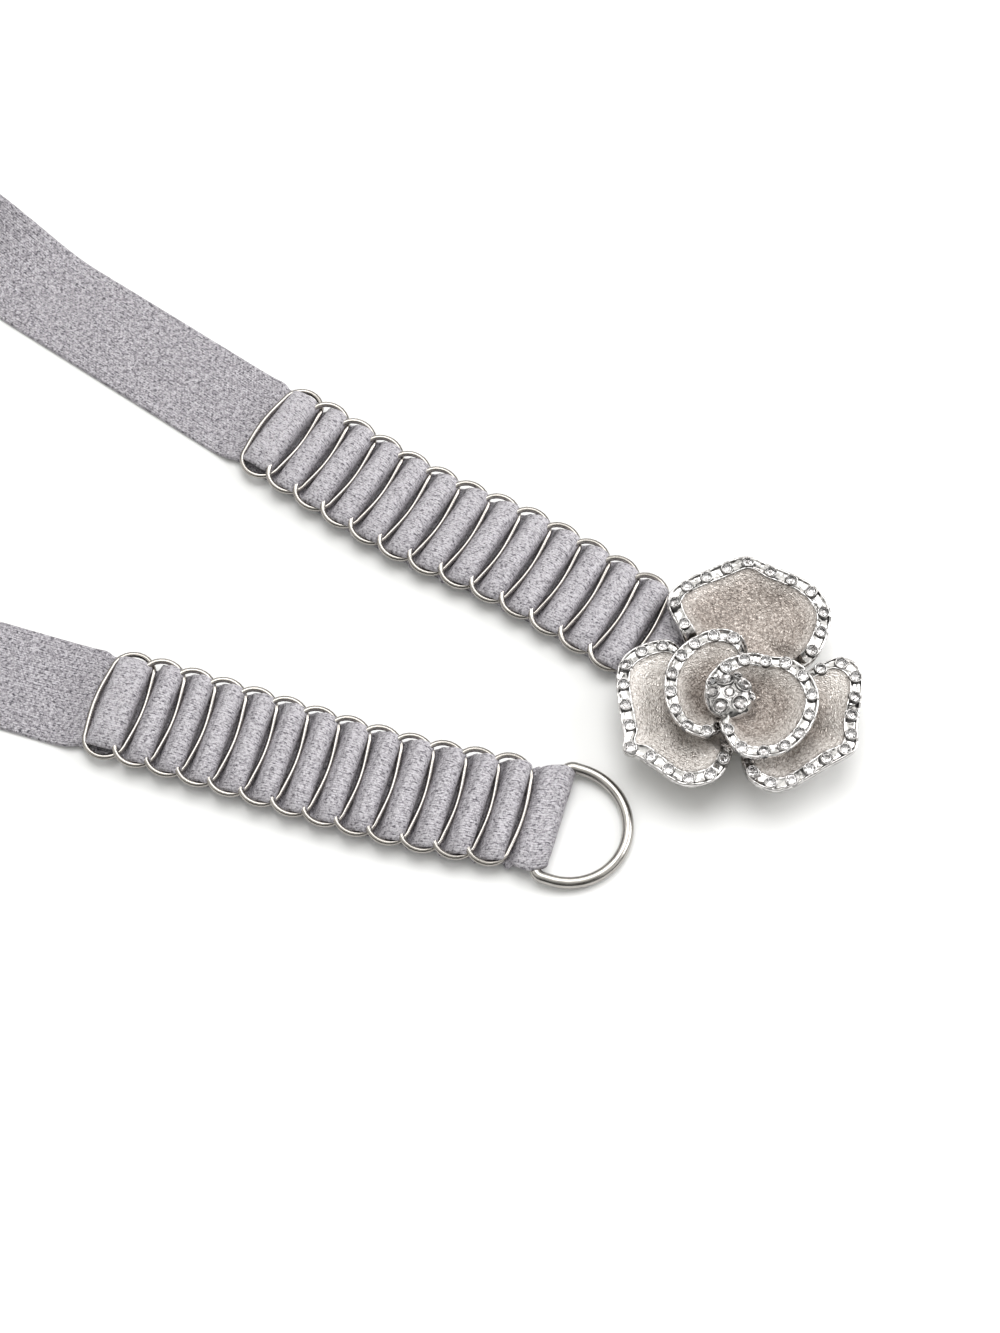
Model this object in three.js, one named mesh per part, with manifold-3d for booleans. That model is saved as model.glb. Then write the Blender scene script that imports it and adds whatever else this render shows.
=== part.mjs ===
// A skinny elastic belt, unfastened and lying on a table. Silver webbing is laced at both ends through
// shingled wire rings into a row of puffs. One end carries a cast flower buckle set with stones, the other
// a wire D-ring for its hook. Millimetres, +Z up, the origin on the table under the middle of the box.
import * as THREE from "three";
import { mergeVertices } from "three/addons/utils/BufferGeometryUtils.js";
import Module from "manifold-3d";

const wasm = await Module();
wasm.setup();

const { degToRad, lerp, clamp, smoothstep } = THREE.MathUtils;

// Webbing
const BAND_WIDTH = 25;
const BAND_THICK = 1;
const RETURN_WIDTH = 22; // the taut layer under the rings, drawn in a little
const CLEARANCE = 0.2; // between webbing, wire and webbing

// Rings
const RING_WIRE = 1.2;
const RING_COUNT = 13;
const RING_WIDTH = 11.2; // between the middles of the two long bars
const RING_LENGTH = 26; // across the belt, between wire centres
const RING_END = 3.5; // depth of each rounded end
const RING_TILT = degToRad(10.8);

// D-ring and the buckle's strap bar
const LOOP_WIRE = 2.6;
const STRAP_WIRE = 2.4; // the buckle's own loop
const LOOP_WIDTH = 26.8;
const LOOP_CORNER = 2;
const D_SIDE = 3.9; // straight side before the round
const STRAP_DEPTH = 10.5;

// Heights of the lacing
const RETURN_HEIGHT = BAND_THICK / 2;
const VALLEY_HEIGHT = 1.5 * BAND_THICK + CLEARANCE;
const WRAP = RING_WIRE / 2 + CLEARANCE + BAND_THICK / 2;
const BAR_LOW = VALLEY_HEIGHT + WRAP;
const BAR_HIGH = BAR_LOW + RING_WIDTH * Math.tan(RING_TILT);
const LOOP_WRAP = LOOP_WIRE / 2 + CLEARANCE + BAND_THICK / 2;
const LOOP_HEIGHT = RETURN_HEIGHT + LOOP_WRAP;

// The two laced ends: pitch of the rings, distance from the last ring's bar to the end's own bar, angle of
// every bar on the table, and the middle line on the table, as x and y
const UPPER = {
  name: "upper",
  pitch: 8,
  lead: 5.7,
  barAngle: degToRad(58.5),
  line: [[38.6, 3], [6.5, 24.4], [-21.4, 39.2], [-56.6, 63.6], [-90, 87.1], [-124.1, 111]],
};
const LOWER = {
  name: "lower",
  pitch: 7.4,
  lead: 5.7,
  barAngle: degToRad(73.5),
  line: [[-112.9, -2.4], [-89.3, -9.8], [-60, -19.4], [-24, -31.2], [5.3, -37.6], [10.9, -38.4]],
};

// The turn at the far end of the belt, where the webbing stands on its edge
const TURN_RADIUS = 56;
const TWIST_LENGTH = 75;
const UPPER_TWIST_START = -20; // before the end of the upper line
const LOWER_TWIST_END = 3; // past the start of the lower line

// Middle of the whole box on the table, which becomes the origin
const BOX_MIDDLE = new THREE.Vector3(-72.4, 38.6, 0);

// The flower: middle of its petals on the table, and the levels that its layers rest on
const FLOWER = new THREE.Vector2(52.1, -11.1);
const SHEET = 1.2; // thickness of a cast petal
const PLATE_RADIUS = 13;
const PLATE_BOTTOM = 4.4;
const PLATE_TOP = 6;
const LAYER_GAP = 0.3;
const OUTER_BASE = PLATE_TOP + LAYER_GAP + SHEET;
const INNER_BASE = OUTER_BASE + LAYER_GAP + SHEET;
const CURL_BASE = INNER_BASE + LAYER_GAP + SHEET;
const PETAL_SEGMENTS = 20;
const HIDDEN_FADE = 25; // degrees over which a rim rises beside its hidden side
const HOOK_WIDTH = 8;
const HOOK_REACH = 29; // from the strap bar to the hook's bend
const HOOK_LENGTH = 10;
const HOOK_THICK = 1.4;

// Each large petal: its middle, its outline as rows of angle and reach, the side that is hidden under the layer
// above, the rise of its dish, the width and outward slope of its rim, and its row of stones as the angles
// of the first and last and how many there are
const OUTER_PETALS = [
  {
    name: "outer_petal_top",
    centre: [4, 17],
    outline: [
      [-24, 17.1], [4, 18.3], [18, 18.1], [34, 17], [68, 15.1], [88, 16.6], [108, 15.7], [143, 17.6],
      [161, 19.4], [187, 16.3], [206, 14.8], [225, 13.5], [250, 13], [275, 12.5], [300, 13], [323, 16.4],
    ],
    hidden: { at: 260, half: 50 },
    base: OUTER_BASE,
    rise: 2.5,
    rimWidth: 3.4,
    rimSlope: -0.3,
    stones: { from: -30, to: 205, count: 13, radius: 1.3 },
  },
  {
    name: "outer_petal_left",
    centre: [-12, -5],
    outline: [
      [10, 10], [35, 10.6], [60, 12], [80, 14.3], [100, 17.6], [124, 18.4], [137, 18.2], [148, 16.9],
      [165, 14.9], [186, 13.9], [204, 14.3], [216, 16.4], [228, 14.9], [244, 15.4], [268, 18],
      [288, 18], [302, 16.6], [330, 13],
    ],
    hidden: { at: 22, half: 53 },
    base: OUTER_BASE,
    rise: 2.5,
    rimWidth: 3.4,
    rimSlope: -0.3,
    stones: { from: 102, to: 308, count: 12, radius: 1.3 },
  },
  {
    name: "outer_petal_right",
    centre: [14, -6],
    outline: [
      [-65, 13.3], [-50, 13.6], [-36, 14.2], [-12, 12.6], [13, 13.7], [30, 16.2], [43, 17.7],
      [56, 17], [67, 13.8], [80, 11.2], [100, 9.5], [130, 8.8], [160, 10], [185, 11.5], [205, 14],
      [218, 17.2], [233, 20], [250, 19.6], [275, 14.7],
    ],
    hidden: { at: 149, half: 55 },
    base: OUTER_BASE,
    rise: 2.5,
    rimWidth: 3.4,
    rimSlope: -0.3,
    stones: { from: -131, to: 68, count: 12, radius: 1.3 },
  },
];

// The two cupped inner petals and the cluster are one casting, with rows as above
const INNER_PETALS = [
  {
    centre: [-5, 0.5],
    outline: [
      [0, 6], [30, 9], [51, 12.6], [71, 13.6], [88, 13.1], [103, 12.4], [140, 11], [170, 11],
      [208, 12], [242, 13.9], [262, 13.2], [285, 9.5], [320, 6.5],
    ],
    hidden: { at: 345, half: 54 },
    base: INNER_BASE,
    rise: 3.4,
    rimWidth: 3,
    rimSlope: 0.4,
    stones: { from: 66, to: 260, count: 9, radius: 1.25 },
  },
  {
    centre: [2, -4],
    outline: [
      [10, 15.2], [26, 14.4], [46, 13.2], [66, 11.3], [83, 10.8], [108, 10], [136, 9.8], [157, 9.9],
      [178, 9], [200, 8.4], [222, 9], [238, 10.8], [252, 12.6], [266, 14.1], [283, 14.7], [300, 15.1],
      [325, 15.1], [350, 15.3],
    ],
    hidden: { at: 198, half: 2 },
    base: CURL_BASE,
    rise: 3.9,
    rimWidth: 3,
    rimSlope: 0.3,
    stones: { from: -123, to: 158, count: 13, radius: 1.25 },
  },
];

// The cluster in the second inner petal: place, reach and height of its dome, and each stone's x, y and radius
const CLUSTER = {
  centre: [-1, -3.6],
  radius: 4.8,
  height: 3,
  stones: [[-0.3, 2.6, 1.9], [-2.9, -0.6, 1.4], [3.3, -0.2, 1.5], [-0.2, -3.3, 1.5], [0.6, -0.6, 1.2]],
};

const WEBBING = new THREE.MeshStandardMaterial({ color: 0xb9b4bc, roughness: 0.6, metalness: 0.35 });
const NICKEL = new THREE.MeshStandardMaterial({ color: 0xbdb8b0, roughness: 0.25, metalness: 1 });
const CAST_METAL = new THREE.MeshStandardMaterial({ color: 0xd2cac4, roughness: 0.4, metalness: 0.9 });

const belt = new THREE.Group();

function addMesh(name, geometry, material, parent = belt) {
  const mesh = new THREE.Mesh(geometry, material);
  mesh.name = name;
  parent.add(mesh);
  return mesh;
}

// Joins rows of points, each row a section of `count` points, into a closed solid. A looped one has no ends.
function sweptSolid(points, count, looped) {
  const rows = points.length / count;
  const at = (row, i) => (row % rows) * count + (i % count);
  const faces = [];
  for (let row = 0; row < (looped ? rows : rows - 1); row += 1) {
    for (let i = 0; i < count; i += 1) {
      faces.push(at(row, i), at(row, i + 1), at(row + 1, i + 1));
      faces.push(at(row, i), at(row + 1, i + 1), at(row + 1, i));
    }
  }
  for (let i = 1; i < count - 1 && !looped; i += 1) {
    faces.push(at(0, 0), at(0, i + 1), at(0, i));
    faces.push(at(rows - 1, 0), at(rows - 1, i), at(rows - 1, i + 1));
  }
  return new THREE.BufferGeometry().setFromPoints(points).setIndex(faces);
}

// Round wire along a closed flat path that runs anticlockwise in the XY plane
function wireLoop(path, diameter, sides) {
  const points = path.flatMap((p, i) => {
    const before = path[(i + path.length - 1) % path.length];
    const after = path[(i + 1) % path.length];
    const arriving = p.clone().sub(before).normalize();
    const leaving = after.clone().sub(p).normalize();
    const way = arriving.clone().add(leaving).normalize();
    const mitre = 1 / way.dot(leaving);
    const inward = new THREE.Vector2(-way.y, way.x).multiplyScalar(mitre);
    return Array.from({ length: sides }, (_, k) => {
      const turn = (2 * Math.PI * k) / sides;
      const across = (diameter / 2) * Math.cos(turn);
      return new THREE.Vector3(
        p.x + inward.x * across,
        p.y + inward.y * across,
        (diameter / 2) * Math.sin(turn),
      );
    });
  });
  return sweptSolid(points, sides, true);
}

function arcPoints(x, y, radius, from, to, steps) {
  return Array.from({ length: steps + 1 }, (_, i) => {
    const turn = degToRad(lerp(from, to, i / steps));
    return new THREE.Vector2(x + radius * Math.cos(turn), y + radius * Math.sin(turn));
  });
}

// The belt's middle line on the table, from the buckle's bar round the turn to the D-ring's bar
function beltLine() {
  const upper = UPPER.line.map(([x, y]) => new THREE.Vector2(x, y));
  const lower = LOWER.line.map(([x, y]) => new THREE.Vector2(x, y));
  const [leaves, arrives] = [upper.at(-1), lower[0]];
  const out = leaves.clone().sub(upper.at(-2)).normalize();
  const back = lower[1].clone().sub(arrives).normalize();
  const leftOf = (way) => new THREE.Vector2(-way.y, way.x).multiplyScalar(TURN_RADIUS);
  const between = arrives.clone().add(leftOf(back)).sub(leaves).sub(leftOf(out));
  const middle = leaves
    .clone()
    .add(leftOf(out))
    .addScaledVector(out, between.cross(back) / out.cross(back));
  const line = new THREE.Path();
  line.moveTo(upper[0].x, upper[0].y);
  line.splineThru(upper.slice(1));
  const start = out.angle() - Math.PI / 2;
  const end = back.angle() - Math.PI / 2;
  line.absarc(middle.x, middle.y, TURN_RADIUS, start, end, false);
  line.lineTo(arrives.x, arrives.y);
  line.splineThru(lower.slice(1));
  return line;
}

const LINE = beltLine();
const LINE_LENGTH = LINE.getLength();
const LINE_PARTS = LINE.getCurveLengths();
const UPPER_LACED = RING_WIDTH + (RING_COUNT - 1) * UPPER.pitch + UPPER.lead;
const LOWER_LACED = RING_WIDTH + (RING_COUNT - 1) * LOWER.pitch + LOWER.lead;
const TWIST_OUT = LINE_PARTS[0] + UPPER_TWIST_START;
const TWIST_BACK = LINE_PARTS.at(-2) + LOWER_TWIST_END;
const SQUARE_UP = 20; // length over which the side turns from the bars' angle to square with the line

// A place along the belt: the point on the table, the way on, and the way across to the left
function placeAt(distance) {
  const held = clamp(distance, 0, LINE_LENGTH);
  const way = LINE.getTangent(held / LINE_LENGTH);
  const point = LINE.getPoint(held / LINE_LENGTH).addScaledVector(way, distance - held);
  const across = new THREE.Vector2(-way.y, way.x);
  const ends = [
    { end: UPPER, laced: UPPER_LACED, away: distance },
    { end: LOWER, laced: LOWER_LACED, away: LINE_LENGTH - distance },
  ];
  for (const { end, laced, away } of ends) {
    const share = clamp(1 - (away - laced) / SQUARE_UP, 0, 1);
    const bar = new THREE.Vector2(Math.cos(end.barAngle), Math.sin(end.barAngle));
    across.lerp(end === UPPER ? bar.negate() : bar, share).normalize();
  }
  return { point, way, across };
}

// How far the webbing has turned onto its edge
function twistAt(distance) {
  const out = smoothstep(distance, TWIST_OUT, TWIST_OUT + TWIST_LENGTH);
  const back = smoothstep(distance, TWIST_BACK - TWIST_LENGTH, TWIST_BACK);
  return (Math.PI / 2) * (out - back);
}

// The climb from the flat stretch onto the return layer, under the first ring's first bar: millimetres along
// from that bar, height and width
const FIRST_CLIMB = [
  [-10, RETURN_HEIGHT, BAND_WIDTH],
  [-5.5, 0.75, BAND_WIDTH],
  [-2.2, 1.5, 24],
  [0, 1.6, 21.6],
];
// One puff between two bars. Columns: the bar it is measured from, which is 0 for the one before, 1 for the
// hidden left bar of the next ring and 2 for the one after, millimetres along from that bar, height over
// the valley, and width of the webbing
const PUFF = [
  [0, 1.4, 0.5, 19.2],
  [1, -2, 1.8, 20.4],
  [1, -1.55, 3.4, 21.2],
  [1, -0.75, 4.75, 22.4],
  [2, -2.4, 4.8, 22.4],
  [2, -1.55, 4.15, 20],
  [2, -1.42, 3.1, 19],
  [2, -1.75, 1.4, 18.2],
  [2, -1.35, 0.36, 18],
  [2, -0.2, -0.06, 18],
];
const FIRST_RISE = 1; // the first puff starts this far inside its ring
// The last puff's rise from the last ring's bar: millimetres along, height over the valley and width
const LAST_RISE = [
  [1.3, 0.45, 19.6],
  [2.1, 1.5, 21.4],
  [3, 2.8, 22.4],
];
const END_PUFF_FULLNESS = 0.9; // how far the last puff stands off the bar that it wraps
const END_PUFF_WIDTH = 22.4;
const WRAP_TURNS = { from: 110, to: -90, step: 25 }; // degrees round the end's bar, 90 being its top
const RETURN_STEPS = 9;
const RETURN_OVERHANG = 0.5; // how far the return layer reaches past the first ring's bar
const MIDDLE_STEPS = 38;

// The laced end's height line, as distance from the first ring's first bar, height and width
function lacedProfile(end) {
  const rows = [...FIRST_CLIMB];
  let before = 0;
  for (let ring = 0; ring < RING_COUNT; ring += 1) {
    const after = RING_WIDTH + ring * end.pitch;
    const bars = [ring === 0 ? FIRST_RISE : before, after + end.pitch - RING_WIDTH, after];
    for (const [from, along, up, width] of PUFF) {
      rows.push([bars[from] + along, VALLEY_HEIGHT + up, width]);
    }
    before = after;
  }
  for (const [along, up, width] of LAST_RISE) rows.push([before + along, VALLEY_HEIGHT + up, width]);
  const bar = before + end.lead;
  for (let turn = WRAP_TURNS.from; turn >= WRAP_TURNS.to; turn -= WRAP_TURNS.step) {
    const off = LOOP_WRAP + END_PUFF_FULLNESS * smoothstep(turn, -20, WRAP_TURNS.from);
    const width = lerp(RETURN_WIDTH, END_PUFF_WIDTH, smoothstep(turn, 0, WRAP_TURNS.from));
    rows.push([
      bar + off * Math.cos(degToRad(turn)),
      LOOP_HEIGHT + off * Math.sin(degToRad(turn)),
      width,
    ]);
  }
  for (let i = 1; i <= RETURN_STEPS; i += 1) {
    rows.push([lerp(bar, -RETURN_OVERHANG, i / RETURN_STEPS), RETURN_HEIGHT, RETURN_WIDTH]);
  }
  return rows;
}

// Every section of the webbing in order, as distance along the line, height and width
function bandRows() {
  const upper = lacedProfile(UPPER).map(([at, up, width]) => [UPPER_LACED - at, up, width]);
  const lower = lacedProfile(LOWER).map(([at, up, width]) => [LINE_LENGTH - LOWER_LACED + at, up, width]);
  const [from, to] = [upper[0][0], lower[0][0]];
  const middle = Array.from({ length: MIDDLE_STEPS - 1 }, (_, i) => [
    lerp(from, to, (i + 1) / MIDDLE_STEPS),
    RETURN_HEIGHT,
    BAND_WIDTH,
  ]);
  return [...upper.reverse(), ...middle, ...lower];
}

function elasticBand() {
  const rows = bandRows();
  const up = new THREE.Vector3(0, 0, 1);
  const corners = rows.flatMap(([distance, height, width], i) => {
    const [before, after] = [rows[Math.max(i - 1, 0)], rows[Math.min(i + 1, rows.length - 1)]];
    const slope = Math.atan2(after[1] - before[1], after[0] - before[0]);
    const { point, way, across } = placeAt(distance);
    const twist = twistAt(distance);
    const left = new THREE.Vector3(across.x, across.y, 0);
    const upright = up
      .clone()
      .multiplyScalar(Math.cos(slope))
      .addScaledVector(new THREE.Vector3(way.x, way.y, 0), -Math.sin(slope));
    const side = left.clone().multiplyScalar(Math.cos(twist)).addScaledVector(upright, -Math.sin(twist));
    const face = upright.multiplyScalar(Math.cos(twist)).addScaledVector(left, Math.sin(twist));
    const lift = (width / 2) * Math.sin(twist) + (BAND_THICK / 2) * (Math.cos(twist) - 1);
    return [[-1, -1], [1, -1], [1, 1], [-1, 1]].map(([acrossSign, faceSign]) =>
      new THREE.Vector3(point.x, point.y, height + lift)
        .addScaledVector(side, (acrossSign * width) / 2)
        .addScaledVector(face, (faceSign * BAND_THICK) / 2),
    );
  });
  addMesh("elastic_band", sweptSolid(corners, 4, false), WEBBING);
}

// A long ring with two bars along Y and two rounded ends, flat in XY
function ringPath() {
  const halfBar = RING_LENGTH / 2 - RING_END;
  return [1, -1].flatMap((sign) =>
    [0, 45, 90, 135, 180].map((turn) => {
      const across = (RING_WIDTH / 2) * Math.cos(degToRad(turn));
      const along = halfBar + RING_END * Math.sin(degToRad(turn));
      return new THREE.Vector2(sign * across, sign * along);
    }),
  );
}

// Sets a flat piece down at a place along the belt, its X towards the belt's end, tipped about its bar
function setDown(mesh, point, height, heading, tilt) {
  mesh.position.set(point.x, point.y, height);
  mesh.rotation.set(0, tilt, heading, "ZYX");
}

function addRings(end) {
  const ring = wireLoop(ringPath(), RING_WIRE, 5);
  const laced = end === UPPER ? UPPER_LACED : LOWER_LACED;
  for (let i = 0; i < RING_COUNT; i += 1) {
    const fromFirstBar = RING_WIDTH / 2 + i * end.pitch;
    const distance = end === UPPER ? laced - fromFirstBar : LINE_LENGTH - laced + fromFirstBar;
    const number = String(i + 1).padStart(2, "0");
    const mesh = addMesh(`ring_${end.name}_${number}`, ring.clone(), NICKEL);
    const first = i === 0;
    const height = first ? BAR_LOW : (BAR_LOW + BAR_HIGH) / 2;
    setDown(mesh, placeAt(distance).point, height, end.barAngle - Math.PI / 2, first ? 0 : RING_TILT);
  }
}

function addDRing() {
  const half = LOOP_WIDTH / 2;
  const corner = half - LOOP_CORNER;
  const path = [
    ...arcPoints(D_SIDE, 0, half, -90, 90, 12),
    ...arcPoints(LOOP_CORNER, corner, LOOP_CORNER, 90, 180, 3),
    ...arcPoints(LOOP_CORNER, -corner, LOOP_CORNER, 180, 270, 3),
  ];
  const mesh = addMesh("d_ring", wireLoop(path, LOOP_WIRE, 6), NICKEL);
  const tilt = Math.asin((LOOP_HEIGHT - LOOP_WIRE / 2) / (D_SIDE + half));
  setDown(mesh, placeAt(LINE_LENGTH).point, LOOP_HEIGHT, LOWER.barAngle - Math.PI / 2, tilt);
}

function solidOf(geometry) {
  const bare = geometry.clone();
  bare.deleteAttribute("normal");
  bare.deleteAttribute("uv");
  const merged = mergeVertices(bare, 1e-4);
  return new wasm.Manifold(
    new wasm.Mesh({
      numProp: 3,
      vertProperties: merged.getAttribute("position").array,
      triVerts: new Uint32Array(merged.index.array),
    }),
  );
}

function geometryOf(solid) {
  const { vertProperties, triVerts } = solid.getMesh();
  return new THREE.BufferGeometry()
    .setAttribute("position", new THREE.BufferAttribute(vertProperties, 3))
    .setIndex(new THREE.BufferAttribute(triVerts, 1));
}

function joined(geometries) {
  return geometryOf(geometries.map(solidOf).reduce((whole, part) => whole.add(part)));
}

// A cut stone with a flat table and eight facets, its girdle sunk into the metal at z = 0
function stone(radius) {
  const sunk = 0.4;
  const profile = [
    [0, -sunk],
    [radius * 1.2, -sunk],
    [radius * 0.62, radius * 0.5],
    [0, radius * 0.5],
  ];
  return new THREE.LatheGeometry(profile.map(([x, y]) => new THREE.Vector2(x, y)), 8).rotateX(Math.PI / 2);
}

// Levels of one petal from the middle of its top over the rim to the middle of its underside. Columns: share
// of the way to the rim's inner edge, millimetres out from that edge, share of the dish's rise, share of
// the lip, share of the rim's slope, and share of the sheet's thickness taken off
const LIP = 0.5;
const PETAL_LEVELS = [
  [0.5, 0, 0.22, 0, 0, 0],
  [0.85, 0, 0.7, 0, 0, 0],
  [1, 0, 1, 0, 0, 0],
  [1, 0.3, 1, 1, 0, 0],
  [1, 1, 1, 1, 1, 0],
  [1, 1, 1, 0, 1, 1],
  [0.6, 0, 0.3, 0, 0, 1],
];

function petalReach(petal) {
  const rows = petal.outline.map(([turn, reach]) => {
    const angle = degToRad(turn);
    return new THREE.Vector3(reach * Math.cos(angle), reach * Math.sin(angle), 0);
  });
  return new THREE.CatmullRomCurve3(rows, true, "centripetal");
}

// How much of the rim is raised at a turn about the petal's middle: none on the hidden side
function rimShare(petal, angle) {
  const { at, half } = petal.hidden;
  const off = Math.acos(Math.cos(angle - degToRad(at)));
  return smoothstep(off, degToRad(half), degToRad(half + HIDDEN_FADE));
}

function petalPoint(petal, edge, [inward, outward, rise, lip, slope, sheet]) {
  const reach = Math.hypot(edge.x, edge.y);
  const inner = reach - petal.rimWidth;
  const out = outward === 0 ? inward * inner : inner + (outward === 1 ? petal.rimWidth : outward);
  const raised = rimShare(petal, Math.atan2(edge.y, edge.x));
  const up = raised * (rise * petal.rise + lip * LIP + slope * petal.rimSlope) - sheet * SHEET;
  return new THREE.Vector3((edge.x / reach) * out, (edge.y / reach) * out, petal.base + up);
}

function petalShell(petal) {
  const edges = petalReach(petal).getSpacedPoints(PETAL_SEGMENTS).slice(0, -1);
  const points = [new THREE.Vector3(0, 0, petal.base)];
  for (const level of PETAL_LEVELS) points.push(...edges.map((edge) => petalPoint(petal, edge, level)));
  points.push(new THREE.Vector3(0, 0, petal.base - SHEET));
  const last = points.length - 1;
  const at = (level, i) => 1 + level * PETAL_SEGMENTS + (i % PETAL_SEGMENTS);
  const faces = [];
  for (let i = 0; i < PETAL_SEGMENTS; i += 1) {
    faces.push(0, at(0, i), at(0, i + 1));
    faces.push(last, at(PETAL_LEVELS.length - 1, i + 1), at(PETAL_LEVELS.length - 1, i));
    for (let level = 0; level < PETAL_LEVELS.length - 1; level += 1) {
      faces.push(at(level, i), at(level + 1, i), at(level + 1, i + 1));
      faces.push(at(level, i), at(level + 1, i + 1), at(level, i + 1));
    }
  }
  return new THREE.BufferGeometry().setFromPoints(points).setIndex(faces);
}

// The stones stand in the middle of the rim, evenly spaced along its outline
function petalStones(petal) {
  const { from, to, count, radius } = petal.stones;
  const outline = petalReach(petal).getSpacedPoints(360);
  const turned = outline.map((edge) => {
    const turn = Math.atan2(edge.y, edge.x) - degToRad(from);
    return ((turn % (2 * Math.PI)) + 2 * Math.PI) % (2 * Math.PI);
  });
  const span = degToRad(to - from);
  const set = outline
    .map((edge, i) => ({ edge, turn: turned[i] }))
    .filter(({ turn }) => turn <= span)
    .sort((a, b) => a.turn - b.turn);
  return Array.from({ length: count }, (_, i) => {
    const { edge } = set[Math.round((i / (count - 1)) * (set.length - 1))];
    const seat = petalPoint(petal, edge, [1, petal.rimWidth * 0.55, 1, 1, 0.5, 0]);
    return stone(radius).translate(seat.x, seat.y, seat.z);
  });
}

function clusterParts() {
  const { centre, radius, height, stones } = CLUSTER;
  const floor = CURL_BASE - SHEET / 2;
  const profile = [[0, 0], [1, 0], [0.88, 0.62], [0.5, 0.95], [0, 1]];
  const dome = new THREE.LatheGeometry(
    profile.map(([out, up]) => new THREE.Vector2(out * radius, up * height)),
    12,
  ).rotateX(Math.PI / 2);
  const set = stones.map(([x, y, stoneRadius]) =>
    stone(stoneRadius).translate(x, y, height * (1 - 0.25 * Math.hypot(x, y) / radius)),
  );
  return [dome, ...set].map((piece) => piece.translate(centre[0], centre[1], floor));
}

function addFlower() {
  const flower = new THREE.Group();
  flower.position.set(FLOWER.x, FLOWER.y, 0);
  const casting = (petal) =>
    [petalShell(petal), ...petalStones(petal)].map((piece) => piece.translate(...petal.centre, 0));
  for (const petal of OUTER_PETALS) addMesh(petal.name, joined(casting(petal)), CAST_METAL, flower);
  const inner = [...INNER_PETALS.flatMap(casting), ...clusterParts()];
  addMesh("inner_petals", joined(inner), CAST_METAL, flower);
  belt.add(flower);
}

// Hidden under the flower: a round plate, the loop with the strap bar, and a plain hook for the D-ring
function addBuckleBack() {
  const half = LOOP_WIDTH / 2;
  const near = STRAP_DEPTH - LOOP_CORNER;
  const corner = half - LOOP_CORNER;
  const path = [
    ...arcPoints(near, -corner, LOOP_CORNER, -90, 0, 3),
    ...arcPoints(near, corner, LOOP_CORNER, 0, 90, 3),
    ...arcPoints(LOOP_CORNER, corner, LOOP_CORNER, 90, 180, 3),
    ...arcPoints(LOOP_CORNER, -corner, LOOP_CORNER, 180, 270, 3),
  ];
  const climb = Math.asin((PLATE_BOTTOM - LOOP_HEIGHT + 0.5) / STRAP_DEPTH);
  const strapLoop = wireLoop(path, STRAP_WIRE, 6).rotateY(-climb).translate(0, 0, LOOP_HEIGHT);
  const hook = new THREE.Shape();
  hook.moveTo(HOOK_REACH - HOOK_LENGTH, 0);
  hook.lineTo(HOOK_REACH, 0);
  hook.lineTo(HOOK_REACH + HOOK_THICK, HOOK_THICK);
  hook.lineTo(HOOK_REACH + HOOK_THICK, PLATE_BOTTOM + 0.3);
  hook.lineTo(HOOK_REACH, PLATE_BOTTOM + 0.3);
  hook.lineTo(HOOK_REACH, HOOK_THICK * 1.4);
  hook.lineTo(HOOK_REACH - HOOK_THICK, HOOK_THICK);
  hook.lineTo(HOOK_REACH - HOOK_LENGTH, HOOK_THICK);
  const tongue = new THREE.ExtrudeGeometry(hook, { depth: HOOK_WIDTH, bevelEnabled: false })
    .rotateX(Math.PI / 2)
    .translate(0, HOOK_WIDTH / 2, 0);
  const heading = UPPER.barAngle - Math.PI / 2;
  const bar = placeAt(0).point;
  const plate = new THREE.CylinderGeometry(PLATE_RADIUS, PLATE_RADIUS, PLATE_TOP - PLATE_BOTTOM, 20)
    .rotateX(Math.PI / 2)
    .translate(0, 0, (PLATE_BOTTOM + PLATE_TOP) / 2);
  const toPlate = FLOWER.clone().sub(bar).rotateAround(new THREE.Vector2(), -heading);
  plate.translate(toPlate.x, toPlate.y, 0);
  tongue.translate(0, toPlate.y, 0);
  const mesh = addMesh("buckle_back", joined([plate, strapLoop, tongue]), NICKEL);
  setDown(mesh, bar, 0, heading, 0);
}

elasticBand();
addRings(UPPER);
addRings(LOWER);
addDRing();
addFlower();
addBuckleBack();
belt.position.copy(BOX_MIDDLE).negate();

export default belt;
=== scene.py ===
# The looks of the skinny elastic belt: webbing, wire rings, D-ring, flower buckle and its stones.
# Lengths are in millimetres on the table plan until a piece is made, and in metres from there on.
import math
import random

import bpy
import numpy as np
from mathutils import Matrix, Vector


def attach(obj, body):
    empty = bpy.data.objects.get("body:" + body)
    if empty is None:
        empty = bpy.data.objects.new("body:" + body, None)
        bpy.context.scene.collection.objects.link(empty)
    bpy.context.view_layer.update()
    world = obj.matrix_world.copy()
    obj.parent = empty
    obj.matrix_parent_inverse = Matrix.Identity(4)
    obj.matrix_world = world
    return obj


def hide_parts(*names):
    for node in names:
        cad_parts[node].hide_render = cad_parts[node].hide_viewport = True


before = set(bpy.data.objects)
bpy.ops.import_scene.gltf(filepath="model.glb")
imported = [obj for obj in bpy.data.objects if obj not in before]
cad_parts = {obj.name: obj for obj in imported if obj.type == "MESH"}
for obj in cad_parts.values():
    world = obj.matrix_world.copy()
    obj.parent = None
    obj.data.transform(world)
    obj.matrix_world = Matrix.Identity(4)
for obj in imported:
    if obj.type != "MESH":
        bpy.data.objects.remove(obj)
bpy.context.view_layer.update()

MM = 0.001
BOX_MIDDLE = np.array([-72.4, 38.6, 0.0])

# Webbing
BAND_WIDTH = 25
BAND_THICK = 1
RETURN_WIDTH = 22.6
CLEARANCE = 0.2

# Rings
RING_WIRE = 1.2
PLATING = 0.1
RING_COUNT = 13
RING_WIDTH = 11.2
RING_LENGTH = 26
RING_END = 4.6
BAR_BOW = 0.85
RING_TILT = math.radians(10.8)

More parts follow.
